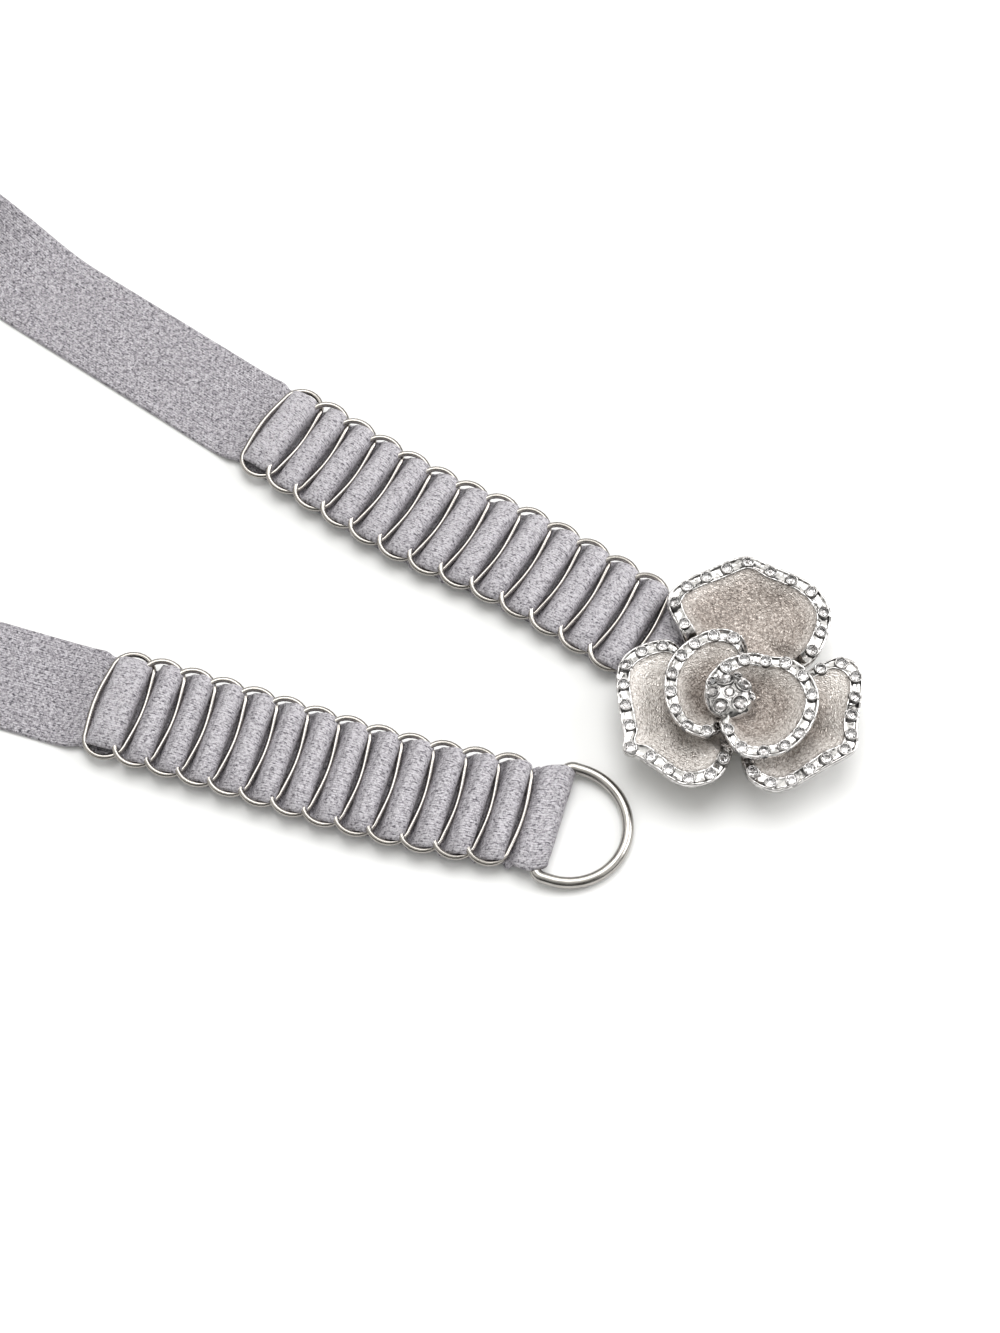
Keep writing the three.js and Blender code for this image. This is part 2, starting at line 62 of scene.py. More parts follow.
# D-ring and the buckle's strap bar
LOOP_WIRE = 2.6
STRAP_WIRE = 2.4
LOOP_WIDTH = 26.8
LOOP_CORNER = 2
D_SIDE = 3.9
STRAP_DEPTH = 10.5

# Heights of the lacing
RETURN_HEIGHT = BAND_THICK / 2
VALLEY_HEIGHT = 1.5 * BAND_THICK + CLEARANCE
WRAP = RING_WIRE / 2 + CLEARANCE + BAND_THICK / 2
BAR_LOW = VALLEY_HEIGHT + WRAP
BAR_HIGH = BAR_LOW + RING_WIDTH * math.tan(RING_TILT)
LOOP_WRAP = LOOP_WIRE / 2 + CLEARANCE + BAND_THICK / 2
LOOP_HEIGHT = RETURN_HEIGHT + LOOP_WRAP

# The two laced ends, and the middle line of each on the table
UPPER = {
    "name": "upper",
    "pitch": 8,
    "lead": 5.7,
    "bar_angle": math.radians(58.5),
    "line": [[38.6, 3], [6.5, 24.4], [-21.4, 39.2], [-56.6, 63.6], [-90, 87.1], [-124.1, 111]],
}
LOWER = {
    "name": "lower",
    "pitch": 7.4,
    "lead": 5.7,
    "bar_angle": math.radians(73.5),
    "line": [[-112.9, -2.4], [-89.3, -9.8], [-60, -19.4], [-24, -31.2], [5.3, -37.6], [10.9, -38.4]],
}
TURN_RADIUS = 56
TWIST_LENGTH = 75
UPPER_TWIST_START = -20
LOWER_TWIST_END = 3
SQUARE_UP = 20

# One puff: bar it is measured from, which is 0 for the one before, 1 for the hidden bar of the next ring
# and 2 for the one after, millimetres along from it, height over the valley, width
PUFF = [
    [0, 0.6, 0.9, 25.2],
    [0, 1.1, 2.2, 24.4],
    [0, 1.6, 3.4, 24.4],
    [0, 2.6, 4.4, 24.6],
    [1, -0.6, 4.8, 24.6],
    [2, -2.7, 4.75, 24.2],
    [2, -2, 4.1, 23.6],
    [2, -1.8, 3, 22.8],
    [2, -1.9, 1.4, 22.2],
    [2, -1.5, 0.4, 23.2],
    [2, -0.2, -0.06, 25.2],
]
# The climb onto the return layer: millimetres from the first ring's first bar, height, width
FIRST_CLIMB = [
    [-10, RETURN_HEIGHT, BAND_WIDTH],
    [-5.5, 0.75, BAND_WIDTH],
    [-2.2, 1.5, 24.6],
    [0, 1.6, 23],
]
FIRST_RISE = 1  # how far inside its ring the first puff starts
FIRST_NARROW = 2  # how much narrower the first puff is
# The last puff's rise: millimetres from the last ring's bar, height over the valley, width
LAST_RISE = [
    [0.7, 1, 24],
    [1.3, 2.3, 24.4],
    [2.2, 3.3, 25],
]
PUFF_HEIGHT = 4.8
END_PUFF_FULLNESS = 0.9  # how far the last puff stands off the bar that it wraps
END_PUFF_WIDTH = 26
WRAP_TURNS = range(110, -91, -25)  # degrees round the end's bar, 90 being its top
RETURN_STEPS = 9
RETURN_OVERHANG = 0.5
MIDDLE_STEPS = 38

# The flower
FLOWER = np.array([52.1, -11.1])
SHEET = 1.2
PLATE_RADIUS = 13
PLATE_BOTTOM = 4.4
PLATE_TOP = 6
LAYER_GAP = 0.3
OUTER_BASE = PLATE_TOP + LAYER_GAP + SHEET
INNER_BASE = OUTER_BASE + LAYER_GAP + SHEET
CURL_BASE = INNER_BASE + LAYER_GAP + SHEET
HIDDEN_FADE = 25  # degrees over which a rim rises beside its hidden side
LIP = 0.5
HOOK_WIDTH = 8
HOOK_REACH = 29
HOOK_LENGTH = 10
HOOK_THICK = 1.4
HOOK_SUNK = 0.3  # how far the hook's tip reaches into the plate
STRAP_SUNK = 0.5  # how far the strap loop reaches into the plate
OUTER_SHAPE = {"base": OUTER_BASE, "rise": 3.6, "rim": 3.4, "slope": -0.3}

# Each petal: middle, outline as rows of angle and reach, the hidden side as angle and half width, level,
# rise of the dish, width and outward slope of the rim, the share of the way out at which the dish starts
# to be lightened, partly worn bright by rubbing and partly painted light, and how much it is by the rim,
# and the first and last angle and count of its stones
OUTER_PETALS = [
    {
        "name": "petal_top",
        "node": "outer_petal_top",
        "middle": [4, 17],
        "outline": [
            [-24, 17.1], [4, 18.3], [18, 18.1], [34, 17], [68, 15.1], [88, 16.6], [108, 15.7], [143, 17.6],
            [161, 19.4], [187, 16.3], [206, 14.8], [225, 13.5], [250, 13], [275, 12.5], [300, 13],
            [323, 16.4],
        ],
        "hidden": [260, 50],
        **OUTER_SHAPE,
        "rubbed_and_lit": [0.75, 0.5],
        "stones": [-30, 205, 13],
    },
    {
        "name": "petal_left",
        "node": "outer_petal_left",
        "middle": [-12, -5],
        "outline": [
            [10, 10], [35, 10.6], [60, 12], [80, 14.3], [100, 17.6], [124, 18.4], [137, 18.2], [148, 16.9],
            [165, 14.9], [186, 13.9], [204, 14.3], [216, 16.4], [228, 14.9], [244, 15.4], [268, 18],
            [288, 18], [302, 16.6], [330, 13],
        ],
        "hidden": [22, 53],
        **OUTER_SHAPE,
        "rubbed_and_lit": [-0.6, 1],
        "stones": [102, 308, 12],
    },
    {
        "name": "petal_right",
        "node": "outer_petal_right",
        "middle": [14, -6],
        "outline": [
            [-65, 13.3], [-50, 13.6], [-36, 14.2], [-12, 12.6], [13, 13.7], [30, 16.2], [43, 17.7],
            [56, 17], [67, 13.8], [80, 11.2], [100, 9.5], [130, 8.8], [160, 10], [185, 11.5], [205, 14],
            [218, 17.2], [233, 20], [250, 19.6], [275, 14.7],
        ],
        "hidden": [149, 55],
        **OUTER_SHAPE,
        "rubbed_and_lit": [0.35, 1],
        "stones": [-131, 68, 12],
    },
]
INNER_PETALS = [
    {
        "middle": [-5, 0.5],
        "outline": [
            [0, 6], [30, 9], [51, 12.6], [71, 13.6], [88, 13.1], [103, 12.4], [140, 11], [170, 11],
            [208, 12], [242, 13.9], [262, 13.2], [285, 9.5], [320, 6.5],
        ],
        "hidden": [345, 54],
        "base": INNER_BASE,
        "rise": 4.2,
        "rim": 3,
        "slope": 0.4,
        "rubbed_and_lit": [0.5, 0.8],
        "stones": [66, 260, 9],
    },
    {
        "middle": [2, -4],
        "outline": [
            [10, 15.2], [26, 14.4], [46, 13.2], [66, 11.3], [83, 10.8], [108, 10], [136, 9.8], [157, 9.9],
            [178, 9], [200, 8.4], [222, 9], [238, 10.8], [252, 12.6], [266, 14.1], [283, 14.7], [300, 15.1],
            [325, 15.1], [350, 15.3],
        ],
        "hidden": [198, 2],
        "base": CURL_BASE,
        "rise": 4.9,
        "rim": 3,
        "slope": 0.3,
        "rubbed_and_lit": [0.6, 0.8],
        "stones": [-123, 158, 13],
    },
]
# The dome of stones in the curl, and each stone's x, y and radius
CLUSTER_MIDDLE = [-2, -3.2]
CLUSTER_RADIUS = 5.7
CLUSTER_LIFT = 3.9
CLUSTER_HEIGHT = 2.6
CLUSTER_FOOT = 0.75  # of the radius, where the dome stands in the curl
CLUSTER_STONES = [
    [-1, 3.3, 1.9],
    [-3.8, 0.2, 1.5],
    [3.1, 1.9, 1.8],
    [-2.1, -3.2, 1.7],
    [-0.2, -0.1, 1.4],
    [2, -2.6, 1.7],
    [2, 4.6, 0.9],
    [-4, 3.1, 0.9],
    [4.6, -0.7, 0.9],
]
CLUSTER_STEPS = 10
CLUSTER_SIDES = 32
CLUSTER_CUT = 0.88  # of the radius, the stone itself
CLUSTER_CUP = 1.02  # of the radius, the middle of the cup's edge
CLUSTER_WIRE = 0.4
CLUSTER_SUNK = 0.2
CLUSTER_LEAN = 3
STONE_RADIUS = 1.1


# Meshes

def add_piece(name, parts, nodes):
    """One piece from parts. A part is its points and its groups of faces, material and smoothness."""
    points = []
    faces = []
    materials = []
    smooth = []
    for part_points, groups in parts:
        start = len(points)
        points.extend((np.asarray(part_points, float) - BOX_MIDDLE) * MM)
        for group_faces, material, group_smooth in groups:
            faces.extend([start + i for i in face] for face in group_faces)
            materials.extend([material] * len(group_faces))
            smooth.extend([group_smooth] * len(group_faces))
    mesh = bpy.data.meshes.new(name)
    mesh.from_pydata([tuple(p) for p in points], [], faces)
    used = list(dict.fromkeys(materials))
    for material in used:
        mesh.materials.append(material)
    mesh.polygons.foreach_set("material_index", [used.index(material) for material in materials])
    mesh.polygons.foreach_set("use_smooth", smooth)
    mesh.update()
    piece = bpy.data.objects.new(name, mesh)
    bpy.context.scene.collection.objects.link(piece)
    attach(piece, "root")
    if nodes:
        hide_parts(*nodes)
    return piece


def grid_faces(rows, count, closed_rows, closed_count):
    """Quads over a grid of points stored row by row."""
    faces = []
    for row in range(rows if closed_rows else rows - 1):
        for i in range(count if closed_count else count - 1):
            after = (i + 1) % count
            above = (row + 1) % rows
            faces.append([row * count + i, row * count + after, above * count + after, above * count + i])
    return faces


def swept(sections, looped):
    """Points and faces of a solid through sections of equal count."""
    rows, count = len(sections), len(sections[0])
    faces = grid_faces(rows, count, looped, True)
    if not looped:
        faces.append(list(range(count))[::-1])
        faces.append([(rows - 1) * count + i for i in range(count)])
    return np.concatenate(sections), faces


def wire_loop(path, diameter, sides):
    """Round wire along a closed flat path that runs anticlockwise."""
    path = np.asarray(path, float)
    way = np.roll(path, -1, axis=0) - np.roll(path, 1, axis=0)
    way /= np.linalg.norm(way, axis=1, keepdims=True)
    inward = np.column_stack([-way[:, 1], way[:, 0]])
    turns = np.arange(sides) * 2 * math.pi / sides
    sections = []
    for point, side in zip(path, inward):
        across = diameter / 2 * np.cos(turns)
        flat = point + side * across[:, None]
        sections.append(np.column_stack([flat, diameter / 2 * np.sin(turns)]))
    return swept(sections, True)


def arc(x, y, radius, start, end, steps):
    turns = np.radians(np.linspace(start, end, steps + 1))
    return [[x + radius * math.cos(turn), y + radius * math.sin(turn)] for turn in turns]


def placed(points, place, height, heading, tilt):
    """Points tipped about their Y axis, turned to a heading and set down on the plan."""
    turn = Matrix.Rotation(heading, 3, "Z") @ Matrix.Rotation(tilt, 3, "Y")
    return np.asarray(points, float) @ np.array(turn).T + np.array([place[0], place[1], height])


def smoothstep(value, low, high):
    share = np.clip((np.asarray(value, float) - low) / (high - low), 0, 1)
    return share * share * (3 - 2 * share)


def curve_through(rows, steps, closed=False):
    """A centripetal Catmull-Rom curve through rows, paced by their first two columns."""
    rows = np.asarray(rows, float)
    if closed:
        padded = np.vstack([rows[-1], rows, rows[:2]])
    else:
        padded = np.vstack([2 * rows[0] - rows[1], rows, 2 * rows[-1] - rows[-2]])
    gaps = np.maximum(np.linalg.norm(np.diff(padded[:, :2], axis=0), axis=1), 1e-6) ** 0.5
    out = []
    for i in range(len(padded) - 3):
        p0, p1, p2, p3 = padded[i:i + 4]
        t1 = gaps[i]
        t2 = t1 + gaps[i + 1]
        t3 = t2 + gaps[i + 2]
        t = np.linspace(t1, t2, steps, endpoint=False)[:, None]
        a1 = (t1 - t) / t1 * p0 + t / t1 * p1
        a2 = (t2 - t) / (t2 - t1) * p1 + (t - t1) / (t2 - t1) * p2
        a3 = (t3 - t) / (t3 - t2) * p2 + (t - t2) / (t3 - t2) * p3
        b1 = (t2 - t) / t2 * a1 + t / t2 * a2
        b2 = (t3 - t) / (t3 - t1) * a2 + (t - t1) / (t3 - t1) * a3
        out.append((t2 - t) / (t2 - t1) * b1 + (t - t1) / (t2 - t1) * b2)
    if not closed:
        out.append(rows[-1:])
    return np.vstack(out)


# The belt's line on the table

TURN_STEPS = 720
SPLINE_STEPS = 160


def uniform_spline(points, steps):
    """The even-paced Catmull-Rom curve that the line's free stretches follow."""
    points = np.asarray(points, float)
    last = len(points) - 1
    out = []
    for i in range(last):
        p0, p1, p2, p3 = points[max(i - 1, 0)], points[i], points[i + 1], points[min(i + 2, last)]
        v0 = (p2 - p0) / 2
        v1 = (p3 - p1) / 2
        t = np.linspace(0, 1, steps, endpoint=False)[:, None]
        cubic = (2 * p1 - 2 * p2 + v0 + v1) * t**3 + (3 * p2 - 3 * p1 - 2 * v0 - v1) * t**2
        out.append(cubic + v0 * t + p1)
    out.append(points[-1:])
    return np.vstack(out)


def length_of(points):
    return float(np.linalg.norm(np.diff(points, axis=0), axis=1).sum())


def belt_line():
    """The middle line, and the lengths at which the upper stretch ends and the lower one starts."""
    upper = np.array(UPPER["line"], float)
    lower = np.array(LOWER["line"], float)
    out = (upper[-1] - upper[-2]) / np.linalg.norm(upper[-1] - upper[-2])
    back = (lower[1] - lower[0]) / np.linalg.norm(lower[1] - lower[0])
    left_out = np.array([-out[1], out[0]]) * TURN_RADIUS
    left_back = np.array([-back[1], back[0]]) * TURN_RADIUS
    between = lower[0] + left_back - upper[-1] - left_out
    along = (between[0] * back[1] - between[1] * back[0]) / (out[0] * back[1] - out[1] * back[0])
    middle = upper[-1] + left_out + out * along
    start = math.degrees(math.atan2(out[1], out[0])) - 90
    end = math.degrees(math.atan2(back[1], back[0])) - 90
    end += 360 if end < start else 0
    turn = np.array(arc(middle[0], middle[1], TURN_RADIUS, start, end, TURN_STEPS))
    first = uniform_spline(upper, SPLINE_STEPS)
    last = uniform_spline(lower, SPLINE_STEPS)
    line = np.vstack([first, turn, last])
    return line, length_of(first), length_of(line) - length_of(last)


LINE, UPPER_END, LOWER_START = belt_line()
LINE = LINE[np.append(True, np.linalg.norm(np.diff(LINE, axis=0), axis=1) > 1e-6)]
LINE_AT = np.append(0, np.cumsum(np.linalg.norm(np.diff(LINE, axis=0), axis=1)))
LINE_LENGTH = LINE_AT[-1]


def laced_length(end):
    return RING_WIDTH + (RING_COUNT - 1) * end["pitch"] + end["lead"]


def line_point(distance):
    return np.array([np.interp(distance, LINE_AT, LINE[:, 0]), np.interp(distance, LINE_AT, LINE[:, 1])])


def place_at(distance):
    """The point on the table, the way on, and the way across to the left."""
    held = min(max(distance, 0), LINE_LENGTH)
    reach = 0.1
    way = line_point(min(held + reach, LINE_LENGTH)) - line_point(max(held - reach, 0))
    way /= np.linalg.norm(way)
    across = np.array([-way[1], way[0]])
    for end, away, sign in ((UPPER, distance, -1), (LOWER, LINE_LENGTH - distance, 1)):
        share = min(max(1 - (away - laced_length(end)) / SQUARE_UP, 0), 1)
        bar = sign * np.array([math.cos(end["bar_angle"]), math.sin(end["bar_angle"])])
        across = across * (1 - share) + bar * share
        across /= np.linalg.norm(across)
    return line_point(held) + way * (distance - held), way, across


def twist_at(distance):
    out_start = UPPER_END + UPPER_TWIST_START
    back_end = LOWER_START + LOWER_TWIST_END
    out = smoothstep(distance, out_start, out_start + TWIST_LENGTH)
    back = smoothstep(distance, back_end - TWIST_LENGTH, back_end)
    return math.pi / 2 * float(out - back)


# Webbing

def laced_profile(end):
    """Rows of distance from the first ring's first bar, height and width."""
    rows = [list(row) for row in FIRST_CLIMB]
    before = 0
    for ring in range(RING_COUNT):
        after = RING_WIDTH + ring * end["pitch"]
        bars = [FIRST_RISE if ring == 0 else before, after + end["pitch"] - RING_WIDTH, after]
        narrow = FIRST_NARROW if ring == 0 else 0
        for start, along, up, width in PUFF:
            rows.append([bars[start] + along, VALLEY_HEIGHT + up, width - narrow])
        before = after
    for along, up, width in LAST_RISE:
        rows.append([before + along, VALLEY_HEIGHT + up, width])
    bar = before + end["lead"]
    for turn in WRAP_TURNS:
        off = LOOP_WRAP + END_PUFF_FULLNESS * float(smoothstep(turn, -20, WRAP_TURNS[0]))
        grown = float(smoothstep(turn, 0, WRAP_TURNS[0]))
        width = RETURN_WIDTH + (END_PUFF_WIDTH - RETURN_WIDTH) * grown
        angle = math.radians(turn)
        rows.append([bar + off * math.cos(angle), LOOP_HEIGHT + off * math.sin(angle), width])
    for step in range(1, RETURN_STEPS + 1):
        share = step / RETURN_STEPS
        rows.append([bar * (1 - share) - RETURN_OVERHANG * share, RETURN_HEIGHT, RETURN_WIDTH])
    return np.array(rows)


def band_rows():
    """Every section of the webbing, as distance along the line, height and width."""
    upper = laced_profile(UPPER)
    lower = laced_profile(LOWER)
    upper[:, 0] = laced_length(UPPER) - upper[:, 0]
    lower[:, 0] = LINE_LENGTH - laced_length(LOWER) + lower[:, 0]
    at = np.linspace(upper[0, 0], lower[0, 0], MIDDLE_STEPS + 1)[1:-1]
    middle = np.column_stack([at, np.full(len(at), RETURN_HEIGHT), np.full(len(at), BAND_WIDTH)])
    return np.vstack([upper[::-1], middle, lower])


BAND_STEPS = 4
EDGE_TURNS = [-90, -50, 0, 50, 90]
TOP_POINTS = 17
BOTTOM_POINTS = 7
SELVAGE = 1.6  # width of the ribbed edge
SELVAGE_GROOVE = 0.14
GROOVE_SPREAD = 0.35  # of the selvage's groove to each side
PUFF_CROWN = 0.5
PUFF_CORNER = 1.5  # how far a puff's two ends turn down
PUFF_CORNER_POWER = 9


def band_section(width):
    """Points round one section, as millimetres across and share of the half thickness."""
    flat = width / 2 - BAND_THICK / 2
    points = []
    for side, count in ((1, TOP_POINTS), (-1, BOTTOM_POINTS)):
        for turn in EDGE_TURNS:
            angle = math.radians(turn)
            points.append([side * (flat + BAND_THICK / 2 * math.cos(angle)), side * math.sin(angle)])
        for i in range(1, count + 1):
            points.append([side * flat * (1 - 2 * i / (count + 1)), side])
    return np.array(points)


def webbing(material):
    rows = curve_through(band_rows(), BAND_STEPS)
    rows[:, 1] = np.maximum(rows[:, 1], RETURN_HEIGHT)
    way_on = np.gradient(rows[:, :2], axis=0)
    slopes = np.arctan2(way_on[:, 1], way_on[:, 0])
    sections = []
    weave = []
    puff_lift = []
    along = 0
    before = None
    for (distance, height, width), slope in zip(rows, slopes):
        point, way, left = place_at(distance)
        twist = twist_at(distance)
        left = np.array([left[0], left[1], 0])
        forward = np.array([way[0], way[1], 0])
        upright = np.array([0, 0, math.cos(slope)]) - forward * math.sin(slope)
        side = left * math.cos(twist) - upright * math.sin(twist)
        face = upright * math.cos(twist) + left * math.sin(twist)
        lift = width / 2 * math.sin(twist) + BAND_THICK / 2 * (math.cos(twist) - 1)
        middle = np.array([point[0], point[1], height + lift])
        along += 0 if before is None else np.linalg.norm(middle - before)
        before = middle
        puffed = float(smoothstep(height, VALLEY_HEIGHT + 1, VALLEY_HEIGHT + PUFF_HEIGHT))
        section = band_section(width)
        share = np.abs(section[:, 0]) / (width / 2)
        groove = np.exp(-(((width / 2 - np.abs(section[:, 0]) - SELVAGE) / GROOVE_SPREAD) ** 2))
        off = section[:, 1] * (BAND_THICK / 2 - SELVAGE_GROOVE * groove)
        drop = puffed * (PUFF_CROWN * share**2 + PUFF_CORNER * share**PUFF_CORNER_POWER)
        points = middle + np.outer(section[:, 0], side) + np.outer(off, face)
        points[:, 2] -= drop
        sections.append(points)
        weave.extend([x * BAND_WIDTH / width, along, y] for x, y in section)
        # How far the webbing stands up in a puff; the material makes it lighter by this share.
        puff_lift.extend([puffed] * len(section))
    points, faces = swept(sections, False)
    piece = add_piece("webbing", [(points, [(faces, material, True)])], ["elastic_band"])
    attribute = piece.data.attributes.new("weave", "FLOAT_VECTOR", "POINT")
    attribute.data.foreach_set("vector", np.array(weave, float).ravel())
    attribute = piece.data.attributes.new("puff_lift", "FLOAT", "POINT")
    attribute.data.foreach_set("value", puff_lift)


# Wire rings

RING_BAR_STEPS = 13
RING_END_STEPS = 14
RING_SIDES = 12
D_BOW_STEPS = 64
D_CORNER_STEPS = 8
D_BAR_STEPS = 12
D_SIDES = 20


def ring_path():
    half_bar = RING_LENGTH / 2 - RING_END
    half_width = RING_WIDTH / 2 - BAR_BOW
    path = []
    for sign in (1, -1):
        for y in np.linspace(-half_bar, half_bar, RING_BAR_STEPS)[1:-1]:
            bow = BAR_BOW * math.cos(math.pi / 2 * y / half_bar)
            path.append([sign * (half_width + bow), sign * y])
        for x, y in arc(0, 0, 1, 0, 180, RING_END_STEPS):
            path.append([sign * half_width * x, sign * (half_bar + RING_END * y)])
    return path


def add_rings(end, material):
    points, faces = wire_loop(ring_path(), RING_WIRE + PLATING, RING_SIDES)
    laced = laced_length(end)
    for i in range(RING_COUNT):
        from_first = RING_WIDTH / 2 + i * end["pitch"]
        distance = laced - from_first if end is UPPER else LINE_LENGTH - laced + from_first
        height = BAR_LOW if i == 0 else (BAR_LOW + BAR_HIGH) / 2
        tilt = 0 if i == 0 else RING_TILT
        set_down = placed(points, place_at(distance)[0], height, end["bar_angle"] - math.pi / 2, tilt)
        name = f"{end['name']}_{i + 1:02d}"
        wire = (set_down, [(faces, material, True)])
        add_piece(f"wire_ring_{name}", [wire], [f"ring_{name}"])


def add_d_ring(material):
    half = LOOP_WIDTH / 2
    corner = half - LOOP_CORNER
    path = [
        *arc(D_SIDE, 0, half, -90, 90, D_BOW_STEPS),
        *arc(LOOP_CORNER, corner, LOOP_CORNER, 90, 180, D_CORNER_STEPS),
        *[[0, y] for y in np.linspace(corner, -corner, D_BAR_STEPS)[1:-1]],
        *arc(LOOP_CORNER, -corner, LOOP_CORNER, 180, 270, D_CORNER_STEPS),
    ]
    points, faces = wire_loop(path, LOOP_WIRE, D_SIDES)
    tilt = math.asin((LOOP_HEIGHT - LOOP_WIRE / 2) / (D_SIDE + half))
    heading = LOWER["bar_angle"] - math.pi / 2
    set_down = placed(points, place_at(LINE_LENGTH)[0], LOOP_HEIGHT, heading, tilt)
    add_piece("d_ring_wire", [(set_down, [(faces, material, True)])], ["d_ring"])


# Flower

PETAL_SEGMENTS = 144
DISH_STEPS = 16
DISH_POWER = 1.7
BACK_POWER = 1.6
OUTLINE_STEPS = 60
INNER_LIP = 0.6  # height of the rim's inner edge, in lips
CHANNEL_FLOOR = 0.1
EDGE_BEAD = 1.15  # height of the bead along the outer edge, in lips
EDGE_ROUND = 0.3
SEAT_SHARE = 0.5  # where on the rim's width the stones sit
BEZEL_RADIUS = 1.28
BEZEL_WIRE = 0.38
GROOVE = 0.29  # reach of the groove, painted dark as shade, from the middle of a stone's edge


def petal_edges(petal):
    """The outline as vectors from the petal's middle, evenly spaced."""
    turns = np.radians([row[0] for row in petal["outline"]])
    reach = np.array([row[1] for row in petal["outline"]])
    rows = np.column_stack([reach * np.cos(turns), reach * np.sin(turns)])
    fine = curve_through(rows, OUTLINE_STEPS, closed=True)
    fine = np.vstack([fine, fine[:1]])
    at = np.append(0, np.cumsum(np.linalg.norm(np.diff(fine, axis=0), axis=1)))
    even = np.linspace(0, at[-1], PETAL_SEGMENTS, endpoint=False)
    return np.column_stack([np.interp(even, at, fine[:, 0]), np.interp(even, at, fine[:, 1])])


def rim_share(petal, turn):
    """How much of the rim is raised: none on the hidden side."""
    at, half = petal["hidden"]
    off = math.degrees(math.acos(max(-1, min(1, math.cos(turn - math.radians(at))))))
    return float(smoothstep(off, half, half + HIDDEN_FADE))


# Waves round a rim: size in millimetres, how many there are round it, share of the petal's seed
HEIGHT_WAVES = [[0.3, 3, 1], [0.15, 7, 2]]
SLOPE_WAVES = [[0.35, 4, 3], [0.2, 9, 1]]


def rim_wave(petal, turn):
    """Slow changes of the rim's height and outward slope round the petal."""
    seed = petal["middle"][0]
    return [
        sum(size * math.sin(count * turn + shift * seed) for size, count, shift in waves)
        for waves in (HEIGHT_WAVES, SLOPE_WAVES)
    ]


def petal_point(petal, edge, inward, outward, rise, lip, slope, sheet):
    reach = math.hypot(*edge)
    turn = math.atan2(edge[1], edge[0])
    inner = reach - petal["rim"]
    out = inward * inner if outward is None else inner + outward
    raised = rim_share(petal, turn)
    wave, tip = rim_wave(petal, turn)
    over = rise * (petal["rise"] + wave) + lip * LIP + slope * (petal["slope"] + tip)
    up = raised * over - sheet * SHEET
    x = petal["middle"][0] + edge[0] / reach * out
    y = petal["middle"][1] + edge[1] / reach * out
    return [FLOWER[0] + x, FLOWER[1] + y, petal["base"] + up]


def petal_levels(petal):
    """Levels from the middle of the top over the rim to the middle of the underside. Each is the share
    of the way to the rim, millimetres out from there, shares of rise, lip and slope, share of the
    thickness, and the look of the faces between it and the next."""
    rim = petal["rim"]
    levels = []
    for i in range(1, DISH_STEPS + 1):
        share = i / DISH_STEPS
        look = "dish" if i < DISH_STEPS else "rim"
        levels.append([share, None, share**DISH_POWER, 0, 0, 0, look])
    levels.append([1, 0.06, 1, INNER_LIP - 0.2, 0, 0, "rim"])
    levels.append([1, 0.18, 1, INNER_LIP, 0, 0, "rim"])
    channel = [
        [0.36, INNER_LIP - 0.08],
        [0.55, CHANNEL_FLOOR + 0.25],
        [0.85, CHANNEL_FLOOR],
        [rim / 2, CHANNEL_FLOOR],
        [rim - 1, CHANNEL_FLOOR],
        [rim - 0.75, CHANNEL_FLOOR + 0.15],
        [rim - 0.55, EDGE_BEAD - 0.25],
        [rim - 0.42, EDGE_BEAD - 0.05],
        [rim - EDGE_ROUND, EDGE_BEAD],
    ]
    for out, lip in channel:
        levels.append([1, out, 1, lip, out / rim, 0, "rim"])
    for turn in (30, 60, 90):
        angle = math.radians(turn)
        out = rim - EDGE_ROUND * (1 - math.sin(angle))
        drop = EDGE_ROUND * (1 - math.cos(angle)) / LIP
        levels.append([1, out, 1, EDGE_BEAD - drop, 1, 0, "rim"])
    levels.append([1, rim, 1, 0, 1, 0.7, "rim"])
    levels.append([1, rim - EDGE_ROUND, 1, 0, 1, 1, "back"])
    for share in (0.95, 0.8, 0.6, 0.4, 0.2):
        levels.append([share, None, share**BACK_POWER, 0, 0, 1, "back"])
    return levels


def petal_shell(petal, looks):
    """The dish, the polished rim and the underside of one petal."""
    edges = petal_edges(petal)
    levels = petal_levels(petal)
    middle = [FLOWER[0] + petal["middle"][0], FLOWER[1] + petal["middle"][1]]
    points = [[*middle, petal["base"]]]
    for level in levels:
        points.extend(petal_point(petal, edge, *level[:6]) for edge in edges)
    points.append([*middle, petal["base"] - SHEET])
    count = len(edges)
    last = len(points) - 1
    lowest = 1 + (len(levels) - 1) * count
    faces = {
        "dish": [[0, 1 + i, 1 + (i + 1) % count] for i in range(count)],
        "rim": [],
        "back": [[last, lowest + (i + 1) % count, lowest + i] for i in range(count)],
    }
    for number, level in enumerate(levels[:-1]):
        start = 1 + number * count
        for i in range(count):
            after = (i + 1) % count
            faces[level[-1]].append([start + i, start + count + i, start + count + after, start + after])
    # Each dish gets lighter towards its rim by an amount set per petal: partly worn bright by rubbing,
    # partly painted light.
    start, amount = petal["rubbed_and_lit"]
    wear_and_light = [0]
    for level in levels:
        wear_and_light.extend([amount * float(smoothstep(level[0], start, 1))] * count)
    wear_and_light.append(0)
    groups = [(look_faces, looks[look], True) for look, look_faces in faces.items()]
    return points, groups, wear_and_light


def stone_seats(petal):
    """Places of the stones on the rim, evenly spaced between two angles, with the rim's lean there."""
    start, end, count = petal["stones"]
    edges = petal_edges(petal)
    turns = (np.arctan2(edges[:, 1], edges[:, 0]) - math.radians(start)) % (2 * math.pi)
    order = np.argsort(turns)
    order = order[turns[order] <= math.radians(end - start)]
    out = petal["rim"] * SEAT_SHARE
    further = 0.5
    seats = []
    for i in range(count):
        edge = edges[order[round(i / (count - 1) * (len(order) - 1))]]
        here = np.array(petal_point(petal, edge, 1, out, 1, 1, SEAT_SHARE, 0))
        slope = SEAT_SHARE + further / petal["rim"]
        outer = np.array(petal_point(petal, edge, 1, out + further, 1, 1, slope, 0))
        lean = outer - here
        seats.append((here, lean / np.linalg.norm(lean)))
    return seats


